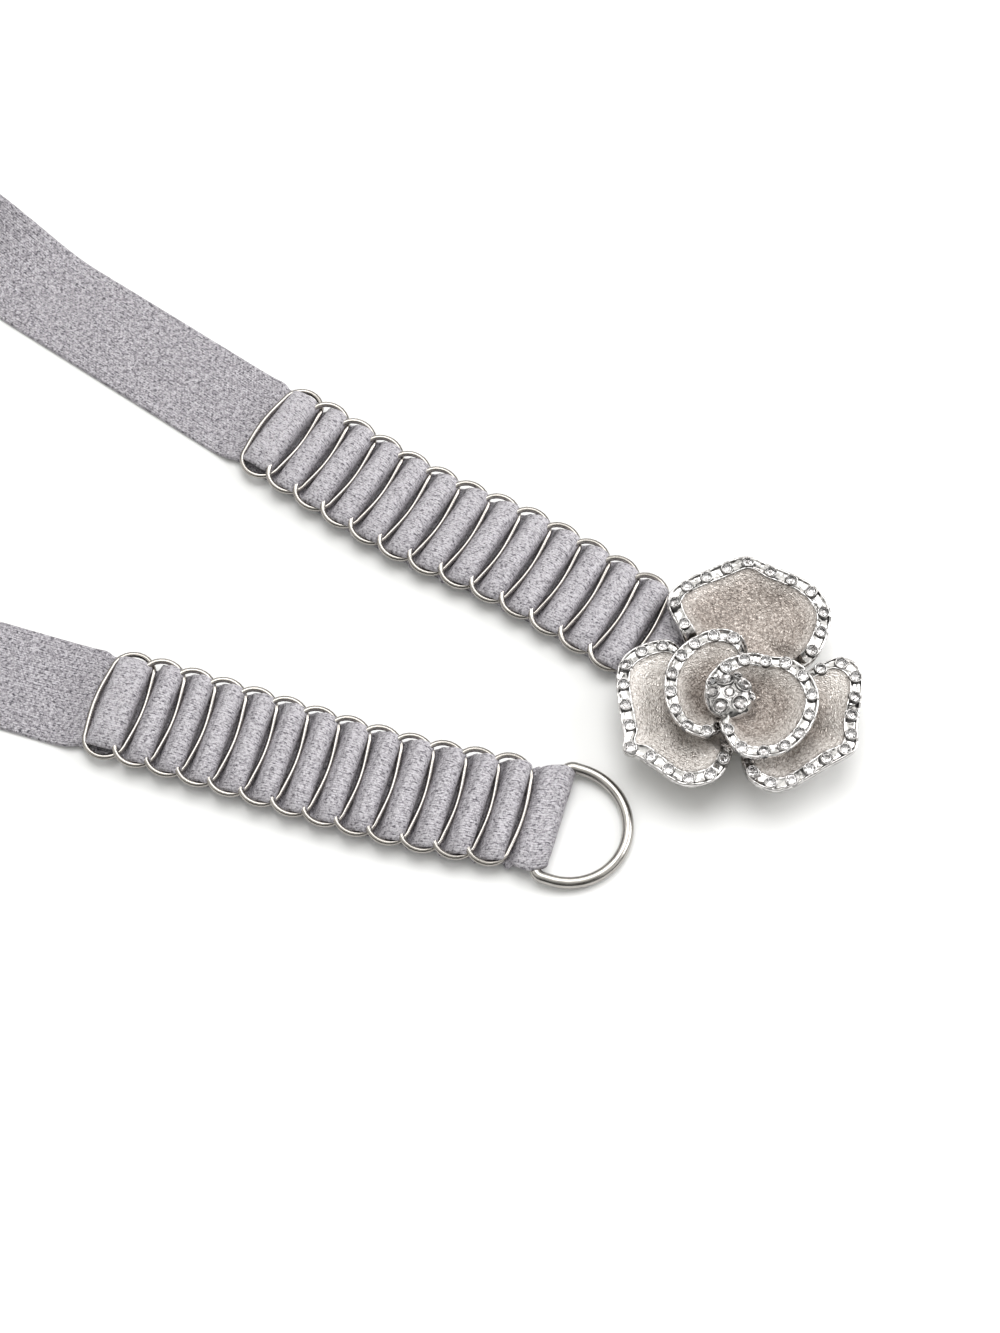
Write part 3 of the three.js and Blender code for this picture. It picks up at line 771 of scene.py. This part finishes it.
def upright_frame(lean, turn):
    """Columns of a frame whose X leans with the rim, turned about its own Z."""
    x_axis = Vector(lean).normalized()
    z_axis = Vector((0, 0, 1)) - x_axis * x_axis.z
    z_axis.normalize()
    y_axis = z_axis.cross(x_axis)
    columns = Matrix((x_axis, y_axis, z_axis)).transposed()
    return np.array(columns @ Matrix.Rotation(turn, 3, "Z"))


# Rows of a round brilliant: share of the radius, share of the radius up, and turn in half facets
STONE_ROWS = [
    [0.56, 0.36, 0],
    [0.8, 0.22, 1],
    [1, 0.03, 0],
    [1, -0.03, 0],
]
STONE_DEPTH = 0.72
STONE_SIDES = 8
SEAT_LIFT = 0.12  # so that the girdle meets the cup's edge


def stone_mesh(radius):
    """A cut stone with a table, a crown of triangular facets, a girdle and a pointed base."""
    points = []
    for out, up, half in STONE_ROWS:
        for i in range(STONE_SIDES):
            turn = 2 * math.pi * (i + half / 2) / STONE_SIDES
            points.append([radius * out * math.cos(turn), radius * out * math.sin(turn), radius * up])
    points.append([0, 0, -radius * STONE_DEPTH])
    tip = len(points) - 1
    n = STONE_SIDES
    faces = [list(range(n))]
    for i in range(n):
        after = (i + 1) % n
        faces.append([i, n + i, after])
        faces.append([i, 2 * n + i, n + i])
        faces.append([n + i, 2 * n + i, 2 * n + after])
        faces.append([after, n + i, 2 * n + after])
        faces.append([2 * n + i, 3 * n + i, 3 * n + after, 2 * n + after])
        faces.append([3 * n + i, tip, 3 * n + after])
    return np.array(points), faces


def cup_mesh(radius, ring, wire, sides=20):
    """The cup under a stone: its inside, its raised round edge, and the groove round it, which is painted
    dark as shade.
    """
    rows = [
        [0.02, -radius * STONE_DEPTH - 0.1],
        [radius * 0.55, -radius * STONE_DEPTH * 0.45 - 0.1],
        [radius + 0.02, -0.12],
        [ring - wire * 0.35, wire * 0.25],
        [ring, wire * 0.5],
        [ring + wire * 0.4, wire * 0.3],
        [ring + wire * 0.5, -0.15],
        [ring + GROOVE, -0.62],
        [ring + GROOVE - 0.1, -1],
    ]
    points = []
    for out, up in rows:
        for i in range(sides):
            turn = 2 * math.pi * i / sides
            points.append([out * math.cos(turn), out * math.sin(turn), up])
    faces = [face[::-1] for face in grid_faces(len(rows), sides, True, True)]
    inside = 2 * sides
    outside = 6 * sides
    return np.array(points), faces[:inside], faces[inside:outside], faces[outside:]


def set_stones(seats, radius, ring, wire, looks, rng):
    """Stones and their cups, each turned by its own amount."""
    parts = []
    for here, lean in seats:
        frame_axes = upright_frame(lean, rng.uniform(0, 2 * math.pi))
        sit = here + np.array([0, 0, SEAT_LIFT])
        points, faces = stone_mesh(radius)
        parts.append((points @ frame_axes.T + sit, [(faces, looks["glass"], False)]))
        points, inside, edge, groove = cup_mesh(radius, ring, wire)
        cup = [(inside, looks["foil"], True), (edge, looks["bezel"], True), (groove, looks["groove"], True)]
        parts.append((points @ frame_axes.T + sit, cup))
    return parts


def add_shell(name, petal, looks, nodes):
    points, groups, wear_and_light = petal_shell(petal, looks)
    piece = add_piece(name, [(points, groups)], nodes)
    attribute = piece.data.attributes.new("wear_and_light", "FLOAT", "POINT")
    attribute.data.foreach_set("value", wear_and_light)


def petal_stones(petal, looks, rng):
    return set_stones(stone_seats(petal), STONE_RADIUS, BEZEL_RADIUS, BEZEL_WIRE, looks, rng)


def add_petals(looks, rng):
    for petal in OUTER_PETALS:
        name = petal["name"]
        add_shell(name, petal, looks, [petal["node"]])
        add_piece(f"{name}_stones", petal_stones(petal, looks, rng), [])
    stones = []
    for number, petal in enumerate(INNER_PETALS):
        nodes = ["inner_petals"] if number == 0 else []
        add_shell(f"inner_petal_{number + 1}", petal, looks, nodes)
        stones += petal_stones(petal, looks, rng)
    add_piece("inner_petal_stones", stones, [])


def add_cluster(looks, rng):
    """The dome of stones in the middle."""
    floor = CURL_BASE + CLUSTER_LIFT
    middle = np.array([FLOWER[0] + CLUSTER_MIDDLE[0], FLOWER[1] + CLUSTER_MIDDLE[1], floor])
    rows = [(CLUSTER_FOOT * CLUSTER_RADIUS, CURL_BASE - SHEET / 2 - floor)]
    for row in range(CLUSTER_STEPS):
        turn = math.pi / 2 * row / CLUSTER_STEPS
        rows.append((CLUSTER_RADIUS * math.cos(turn), CLUSTER_HEIGHT * math.sin(turn)))
    points = []
    for out, up in rows:
        for i in range(CLUSTER_SIDES):
            around = 2 * math.pi * i / CLUSTER_SIDES
            points.append([out * math.cos(around), out * math.sin(around), up])
    faces = grid_faces(len(rows), CLUSTER_SIDES, False, True)
    faces.append([(len(rows) - 1) * CLUSTER_SIDES + i for i in range(CLUSTER_SIDES)])
    faces.append(list(range(CLUSTER_SIDES))[::-1])
    parts = [(np.array(points) + middle, [(faces, looks["bezel"], True)])]
    for x, y, radius in CLUSTER_STONES:
        share = math.hypot(x, y) / CLUSTER_RADIUS
        up = CLUSTER_HEIGHT * math.sqrt(max(1 - share**2, 0.2)) - CLUSTER_SUNK
        here = middle + np.array([x, y, up])
        outward = np.array([x, y, -share * CLUSTER_LEAN]) if share > 0.1 else np.array([1, 0, 0])
        cut, cup = radius * CLUSTER_CUT, radius * CLUSTER_CUP
        parts += set_stones([(here, outward)], cut, cup, CLUSTER_WIRE, looks, rng)
    add_piece("stone_cluster", parts, [])


STRAP_CORNER_STEPS = 6
STRAP_SIDES = 14
PLATE_BEVEL = 0.3


def add_buckle_back(material):
    """The hidden plate, its strap loop and a plain hook."""
    half = LOOP_WIDTH / 2
    near = STRAP_DEPTH - LOOP_CORNER
    corner = half - LOOP_CORNER
    path = [
        *arc(near, -corner, LOOP_CORNER, -90, 0, STRAP_CORNER_STEPS),
        *arc(near, corner, LOOP_CORNER, 0, 90, STRAP_CORNER_STEPS),
        *arc(LOOP_CORNER, corner, LOOP_CORNER, 90, 180, STRAP_CORNER_STEPS),
        *arc(LOOP_CORNER, -corner, LOOP_CORNER, 180, 270, STRAP_CORNER_STEPS),
    ]
    climb = math.asin((PLATE_BOTTOM - LOOP_HEIGHT + STRAP_SUNK) / STRAP_DEPTH)
    points, loop_faces = wire_loop(path, STRAP_WIRE, STRAP_SIDES)
    loop_points = placed(points, (0, 0), LOOP_HEIGHT, 0, -climb)
    heading = UPPER["bar_angle"] - math.pi / 2
    bar = place_at(0)[0]
    turned = np.array(Matrix.Rotation(-heading, 2)) @ (FLOWER - bar)
    rows = []
    for out, up in (
        (PLATE_RADIUS - PLATE_BEVEL, PLATE_BOTTOM),
        (PLATE_RADIUS, PLATE_BOTTOM + PLATE_BEVEL),
        (PLATE_RADIUS, PLATE_TOP - PLATE_BEVEL),
        (PLATE_RADIUS - PLATE_BEVEL, PLATE_TOP),
    ):
        around = np.radians(np.arange(0, 360, 5))
        ring = np.column_stack([out * np.cos(around), out * np.sin(around), np.full(len(around), up)])
        rows.append(ring + np.array([turned[0], turned[1], 0]))
    plate_points, plate_faces = swept(rows, False)
    outline = [
        [HOOK_REACH - HOOK_LENGTH, 0],
        [HOOK_REACH, 0],
        [HOOK_REACH + HOOK_THICK, HOOK_THICK],
        [HOOK_REACH + HOOK_THICK, PLATE_BOTTOM + HOOK_SUNK],
        [HOOK_REACH, PLATE_BOTTOM + HOOK_SUNK],
        [HOOK_REACH, HOOK_THICK * 1.4],
        [HOOK_REACH - HOOK_THICK, HOOK_THICK],
        [HOOK_REACH - HOOK_LENGTH, HOOK_THICK],
    ]
    sections = []
    for y in (-HOOK_WIDTH / 2, HOOK_WIDTH / 2):
        sections.append(np.array([[x, turned[1] + y, z] for x, z in outline]))
    hook_points, hook_faces = swept(sections, False)
    hook_faces = [face[::-1] for face in hook_faces]
    parts = []
    for points, faces, smooth in (
        (loop_points, loop_faces, True),
        (plate_points, plate_faces, False),
        (hook_points, hook_faces, False),
    ):
        parts.append((placed(points, bar, 0, heading, 0), [(faces, material, smooth)]))
    add_piece("buckle_plate", parts, ["buckle_back"])


# Materials

def colour_ramp(tree, value, stops):
    """A colour ramp over value, from rows of position and colour."""
    node = tree.nodes.new("ShaderNodeValToRGB")
    tree.links.new(value, node.inputs["Fac"])
    elements = node.color_ramp.elements
    while len(elements) < len(stops):
        elements.new(0.5)
    for element, (position, colour) in zip(elements, stops):
        element.position = position
        element.color = (*colour, 1)
    return node.outputs["Color"]


class Shader:
    """A material's nodes, made and linked by name."""

    def __init__(self, name, **inputs):
        self.material = bpy.data.materials.new(name)
        self.material.use_nodes = True
        self.tree = self.material.node_tree
        self.surface = self.tree.nodes["Principled BSDF"]
        for key, value in inputs.items():
            self.surface.inputs[key.replace("_", " ")].default_value = value

    def feed(self, socket, value):
        """Links a socket to another node's output, or sets it to a constant."""
        if isinstance(value, bpy.types.NodeSocket):
            self.tree.links.new(value, socket)
        else:
            socket.default_value = value

    def node(self, kind, settings=None, **inputs):
        node = self.tree.nodes.new(kind)
        for key, value in (settings or {}).items():
            setattr(node, key, value)
        for key, value in inputs.items():
            self.feed(node.inputs[key.replace("_", " ")], value)
        return node

    def place(self):
        return self.node("ShaderNodeTexCoord").outputs["Object"]

    def noise(self, place, scale, detail, roughness=0.5):
        """The grey value of a noise texture."""
        inputs = {"Scale": scale, "Detail": detail, "Roughness": roughness}
        return self.node("ShaderNodeTexNoise", Vector=place, **inputs).outputs["Fac"]

    def link(self, output, name):
        self.tree.links.new(output, self.surface.inputs[name])

    def ramp(self, value, stops):
        return colour_ramp(self.tree, value, stops)

    def maths(self, operation, *values):
        node = self.tree.nodes.new("ShaderNodeMath")
        node.operation = operation
        for socket, value in zip(node.inputs, values):
            self.feed(socket, value)
        return node.outputs[0]

    def mix(self, share, first, second):
        node = self.tree.nodes.new("ShaderNodeMix")
        node.data_type = "RGBA"
        for number, value in ((0, share), (6, first), (7, second)):
            self.feed(node.inputs[number], (*value, 1) if isinstance(value, tuple) else value)
        return node.outputs[2]

    def bump(self, height, distance, strength=1.0, normal=None):
        node = self.node("ShaderNodeBump", Height=height, Distance=distance, Strength=strength)
        if normal is not None:
            self.tree.links.new(normal, node.inputs["Normal"])
        return node.outputs["Normal"]


# Millimetres across and along the belt
WEAVE_RIB = 0.56
WEAVE_STITCH = 0.85
DASH_RATE = (1.1, 2.2)  # dark dashes per millimetre along and across
GLITTER_PER_MM = 2.4
SHINY_SHARE = 0.06


def webbing_material():
    """Knitted silver yarn: fine ribs of stitches, soft dark dashes between them and metallic flecks,
    lighter where it stands up in the puffs.
    """
    shader = Shader("silver_webbing")
    weave = shader.node("ShaderNodeAttribute", {"attribute_name": "weave"}).outputs["Vector"]
    puff_lift = shader.node("ShaderNodeAttribute", {"attribute_name": "puff_lift"}).outputs["Fac"]
    parts = shader.node("ShaderNodeSeparateXYZ", Vector=weave)
    across, along = parts.outputs["X"], parts.outputs["Y"]
    plane = shader.node("ShaderNodeCombineXYZ", X=along, Y=across).outputs[0]
    stitches = shader.node(
        "ShaderNodeTexBrick",
        {"offset": 0.5},
        Vector=plane,
        Scale=1.0,
        Mortar_Size=0.13,
        Mortar_Smooth=1.0,
        Brick_Width=WEAVE_STITCH,
        Row_Height=WEAVE_RIB,
    ).outputs["Fac"]
    stretched = shader.node(
        "ShaderNodeCombineXYZ",
        X=shader.maths("MULTIPLY", along, DASH_RATE[0]),
        Y=shader.maths("MULTIPLY", across, DASH_RATE[1]),
    ).outputs[0]
    dashes = shader.noise(stretched, 1.0, 2.0, 0.6)
    dash = shader.node("ShaderNodeMapRange", Value=dashes, From_Min=0.53, From_Max=0.64).outputs["Result"]
    fine = shader.noise(plane, 1.8, 3.0, 0.8)
    slow = shader.noise(plane, 0.8, 1.0)
    flecks = shader.node("ShaderNodeTexVoronoi", {"feature": "F1"}, Vector=plane, Scale=GLITTER_PER_MM)
    fleck = shader.node("ShaderNodeSeparateColor", Color=flecks.outputs["Color"])
    tone = shader.maths("MULTIPLY_ADD", fine, 1.5, -0.4)
    for value, gain in (
        (stitches, -0.16),
        (dash, -0.5),
        (slow, 0.6),
        (fleck.outputs["Green"], 0.3),
        # lighter the higher the webbing stands in a puff
        (puff_lift, 0.16),
    ):
        tone = shader.maths("MULTIPLY_ADD", value, gain, tone)
    colour = shader.ramp(
        tone,
        [
            (0.12, (0.07, 0.065, 0.08)),
            (0.36, (0.17, 0.16, 0.182)),
            (0.6, (0.29, 0.275, 0.3)),
            (0.85, (0.46, 0.44, 0.475)),
            (1.0, (0.6, 0.58, 0.615)),
        ],
    )
    shine = shader.maths("GREATER_THAN", fleck.outputs["Red"], 1 - SHINY_SHARE)
    shader.link(shader.mix(shine, colour, (0.5, 0.48, 0.52)), "Base Color")
    shader.link(shader.maths("MULTIPLY_ADD", shine, 0.35, 0.15), "Metallic")
    shader.link(shader.maths("MULTIPLY_ADD", shine, -0.2, 0.58), "Roughness")
    height = shader.maths("MULTIPLY_ADD", fine, 0.6, shader.maths("MULTIPLY", stitches, -0.8))
    height = shader.maths("MULTIPLY_ADD", dash, -0.5, height)
    shader.link(shader.bump(height, 0.00014, 0.8), "Normal")
    return shader.material


def nickel_material(name, colour, roughness):
    """Bright plated wire with faint polishing waves."""
    shader = Shader(name, Metallic=1.0)
    place = shader.place()
    smudge = shader.noise(place, 260.0, 3.0)
    fine = shader.noise(place, 2600.0, 2.0)
    dark = tuple(0.82 * part for part in colour)
    shader.link(shader.ramp(smudge, [(0.35, dark), (0.65, colour)]), "Base Color")
    shader.link(shader.maths("MULTIPLY_ADD", smudge, 0.14, roughness), "Roughness")
    shader.link(shader.bump(fine, 0.00002, 0.15), "Normal")
    return shader.material


FACET_SHARE = 0.35  # of the dish's grains that flash like a mirror


def dish_material():
    """Sandblasted cast metal with a pearly coat: fine bright and dark grains, made lighter towards the
    rims, partly worn bright by rubbing and partly painted light.
    """
    shader = Shader("blasted_metal", Coat_Weight=0.1, Coat_Roughness=0.35)
    place = shader.place()
    grain = shader.node("ShaderNodeTexVoronoi", {"feature": "F1"}, Vector=place, Scale=2800.0)
    grit = shader.noise(place, 1700.0, 3.0, 0.7)
    cloud = shader.noise(place, 110.0, 2.0)
    tone = shader.maths("MULTIPLY_ADD", grit, 2.2, -0.7)
    tone = shader.maths("MULTIPLY_ADD", cloud, 0.5, tone)
    # Share by which the dish is lightened: partly worn bright by rubbing, partly painted light.
    wear_and_light = shader.node("ShaderNodeAttribute", {"attribute_name": "wear_and_light"}).outputs["Fac"]
    blasted = shader.ramp(
        tone,
        [
            (0.3, (0.12, 0.099, 0.087)),
            (0.55, (0.27, 0.232, 0.208)),
            (0.75, (0.37, 0.322, 0.291)),
            (1.0, (0.62, 0.563, 0.527)),
        ],
    )
    rubbed_and_lit = shader.ramp(
        tone,
        [
            (0.3, (0.42, 0.38, 0.352)),
            (0.6, (0.7, 0.652, 0.617)),
            (1.0, (0.88, 0.845, 0.815)),
        ],
    )
    shader.link(shader.mix(wear_and_light, blasted, rubbed_and_lit), "Base Color")
    cells = shader.node("ShaderNodeSeparateColor", Color=grain.outputs["Color"])
    facet = shader.maths("GREATER_THAN", cells.outputs["Red"], 1 - FACET_SHARE)
    shader.link(shader.maths("MULTIPLY_ADD", facet, 0.6, 0.25), "Metallic")
    shader.link(shader.maths("MULTIPLY_ADD", facet, -0.22, 0.52), "Roughness")
    normal = shader.bump(grain.outputs["Distance"], 0.0002, 0.7)
    shader.link(shader.bump(grit, 0.0002, 0.6, normal), "Normal")
    return shader.material


def rim_material(name, tone, roughness):
    """Polished casting: a near mirror with slow waves."""
    shader = Shader(name, Metallic=1.0)
    place = shader.place()
    wave = shader.noise(place, 420.0, 1.0)
    smudge = shader.noise(place, 1300.0, 3.0)
    light = (tone, tone * 0.975, tone * 0.962)
    dark = tuple(0.68 * part for part in light)
    shader.link(shader.ramp(smudge, [(0.32, dark), (0.58, light)]), "Base Color")
    shader.link(shader.maths("MULTIPLY_ADD", smudge, 0.12, roughness), "Roughness")
    shader.link(shader.bump(wave, 0.0009, 0.8), "Normal")
    return shader.material


def painted_shade_material(name, tone):
    """Metal painted dark as shade: the foil behind a stone and the groove round its edge."""
    shader = Shader(name, Metallic=0.9, Roughness=0.3)
    place = shader.place()
    smudge = shader.noise(place, 1500.0, 2.0)
    dark = (tone * 0.22, tone * 0.22, tone * 0.225)
    light = (tone, tone * 0.985, tone * 0.98)
    shader.link(shader.ramp(smudge, [(0.35, dark), (0.65, light)]), "Base Color")
    return shader.material


def glass_material():
    """Clear cut stone."""
    shader = Shader("clear_stone", Roughness=0.0, IOR=1.65, Transmission_Weight=1.0)
    speck = shader.node("ShaderNodeTexNoise", Scale=900.0, Detail=1.0).outputs["Fac"]
    shader.link(shader.ramp(speck, [(0.3, (0.84, 0.82, 0.83)), (0.7, (0.96, 0.945, 0.95))]), "Base Color")
    return shader.material


# Stage

LOOK_AT = Vector((72.4, -38.6, 0)) * MM
CAMERA_AWAY = 0.5
CAMERA_ELEVATION = math.radians(64)
FOCAL_PIXELS = 2200
IMAGE_HEIGHT = 1333
SENSOR = 36


def add_camera():
    data = bpy.data.cameras.new("camera")
    data.sensor_width = SENSOR
    data.lens = FOCAL_PIXELS / IMAGE_HEIGHT * SENSOR
    data.clip_start = 0.01
    camera = bpy.data.objects.new("camera", data)
    off = Vector((0, -math.cos(CAMERA_ELEVATION), math.sin(CAMERA_ELEVATION))) * CAMERA_AWAY
    camera.location = LOOK_AT + off
    camera.rotation_euler = (-off).to_track_quat("-Z", "Y").to_euler()
    bpy.context.scene.collection.objects.link(camera)
    bpy.context.scene.camera = camera


FLOOR_HALF = 14
FLOOR_LEVEL = -0.00005  # just under the belt


def add_floor():
    mesh = bpy.data.meshes.new("floor")
    signs = [(-1, -1), (1, -1), (1, 1), (-1, 1)]
    corners = [(x * FLOOR_HALF, y * FLOOR_HALF, FLOOR_LEVEL) for x, y in signs]
    mesh.from_pydata(corners, [], [[0, 1, 2, 3]])
    shader = Shader("floor_white", Roughness=0.7)
    place = shader.place()
    tint = shader.noise(place, 3.0, 1.0)
    shader.link(shader.ramp(tint, [(0.3, (0.9, 0.9, 0.895)), (0.7, (0.92, 0.92, 0.92))]), "Base Color")
    shader.surface.inputs["Specular IOR Level"].default_value = 0.2
    mesh.materials.append(shader.material)
    floor = bpy.data.objects.new("floor", mesh)
    bpy.context.scene.collection.objects.link(floor)


# Lights: name, place over the look-at point, size and power
LIGHTS = [
    ["key", (0, 0.3, 0.9), 0.7, 4],
    ["side", (0.75, 0.2, 0.5), 0.6, 4],
]


def add_lights():
    for name, place, size, power in LIGHTS:
        data = bpy.data.lights.new(name, "AREA")
        data.shape = "DISK"
        data.size = size
        data.energy = power
        light = bpy.data.objects.new(name, data)
        light.location = LOOK_AT + Vector(place)
        light.rotation_euler = (-Vector(place)).to_track_quat("-Z", "Y").to_euler()
        bpy.context.scene.collection.objects.link(light)


# Brightness of the studio by sine of the height over the horizon, then what multiplies it: dark gaps by the
# value of a noise, and a dimming towards the viewer's side from 0 to 1. The last is the least brightness
# close to the horizon.
WORLD_HEIGHTS = [[0.0, 0.1], [0.1, 0.04], [0.24, 0.05], [0.36, 0.75], [0.5, 1.0]]
WORLD_GAPS = [[0.41, 0.04], [0.46, 1.0]]
WORLD_SOUTH = [[0.1, 0.15], [0.42, 1.0]]
HORIZON = [[0.0, 0.6], [0.06, 0.6], [0.075, 0.0]]
WORLD_STRENGTH = 1.25


def add_world():
    """A pale studio, dark low down and with gaps higher up, so that bright metal shows its edges."""
    world = bpy.data.worlds.new("studio")
    world.use_nodes = True
    bpy.context.scene.world = world
    tree = world.node_tree
    background = tree.nodes["Background"]
    place = tree.nodes.new("ShaderNodeTexCoord")
    parts = tree.nodes.new("ShaderNodeSeparateXYZ")
    tree.links.new(place.outputs["Generated"], parts.inputs[0])
    gaps = tree.nodes.new("ShaderNodeTexNoise")
    gaps.inputs["Scale"].default_value = 2.4
    gaps.inputs["Detail"].default_value = 1.5
    tree.links.new(place.outputs["Generated"], gaps.inputs["Vector"])
    lifted = tree.nodes.new("ShaderNodeMath")
    lifted.operation = "MULTIPLY_ADD"
    lifted.inputs[1].default_value = 0.5
    lifted.inputs[2].default_value = 0.5
    tree.links.new(parts.outputs["Y"], lifted.inputs[0])

    def ramp(value, stops):
        rows = [(position, (grey, grey, grey * 0.99)) for position, grey in stops]
        return colour_ramp(tree, value, rows)

    light = ramp(parts.outputs["Z"], WORLD_HEIGHTS)
    for value, stops, blend in (
        (gaps.outputs["Fac"], WORLD_GAPS, "MULTIPLY"),
        (lifted.outputs[0], WORLD_SOUTH, "MULTIPLY"),
        (parts.outputs["Z"], HORIZON, "LIGHTEN"),
    ):
        both = tree.nodes.new("ShaderNodeMix")
        both.data_type = "RGBA"
        both.blend_type = blend
        both.inputs[0].default_value = 1
        tree.links.new(light, both.inputs[6])
        tree.links.new(ramp(value, stops), both.inputs[7])
        light = both.outputs[2]
    tree.links.new(light, background.inputs["Color"])
    background.inputs["Strength"].default_value = WORLD_STRENGTH


SEED = 7


def build():
    rng = random.Random(SEED)
    nickel = nickel_material("polished_nickel", (0.42, 0.395, 0.37), 0.1)
    d_nickel = nickel_material("polished_loop", (0.46, 0.44, 0.415), 0.15)
    looks = {
        "dish": dish_material(),
        "rim": rim_material("polished_rim", 0.72, 0.06),
        "bezel": rim_material("polished_bezel", 0.52, 0.1),
        # The foil behind the stones and the groove round their cups are painted dark as shade.
        "foil": painted_shade_material("stone_foil", 0.22),
        "groove": painted_shade_material("groove_painted_shade", 0.22),
        "glass": glass_material(),
        "back": nickel_material("satin_back", (0.5, 0.48, 0.455), 0.28),
    }
    webbing(webbing_material())
    add_rings(UPPER, nickel)
    add_rings(LOWER, nickel)
    add_d_ring(d_nickel)
    add_petals(looks, rng)
    add_cluster(looks, rng)
    add_buckle_back(looks["back"])


add_camera()
add_floor()
add_lights()
add_world()
build()
bpy.context.scene.view_settings.view_transform = "Standard"
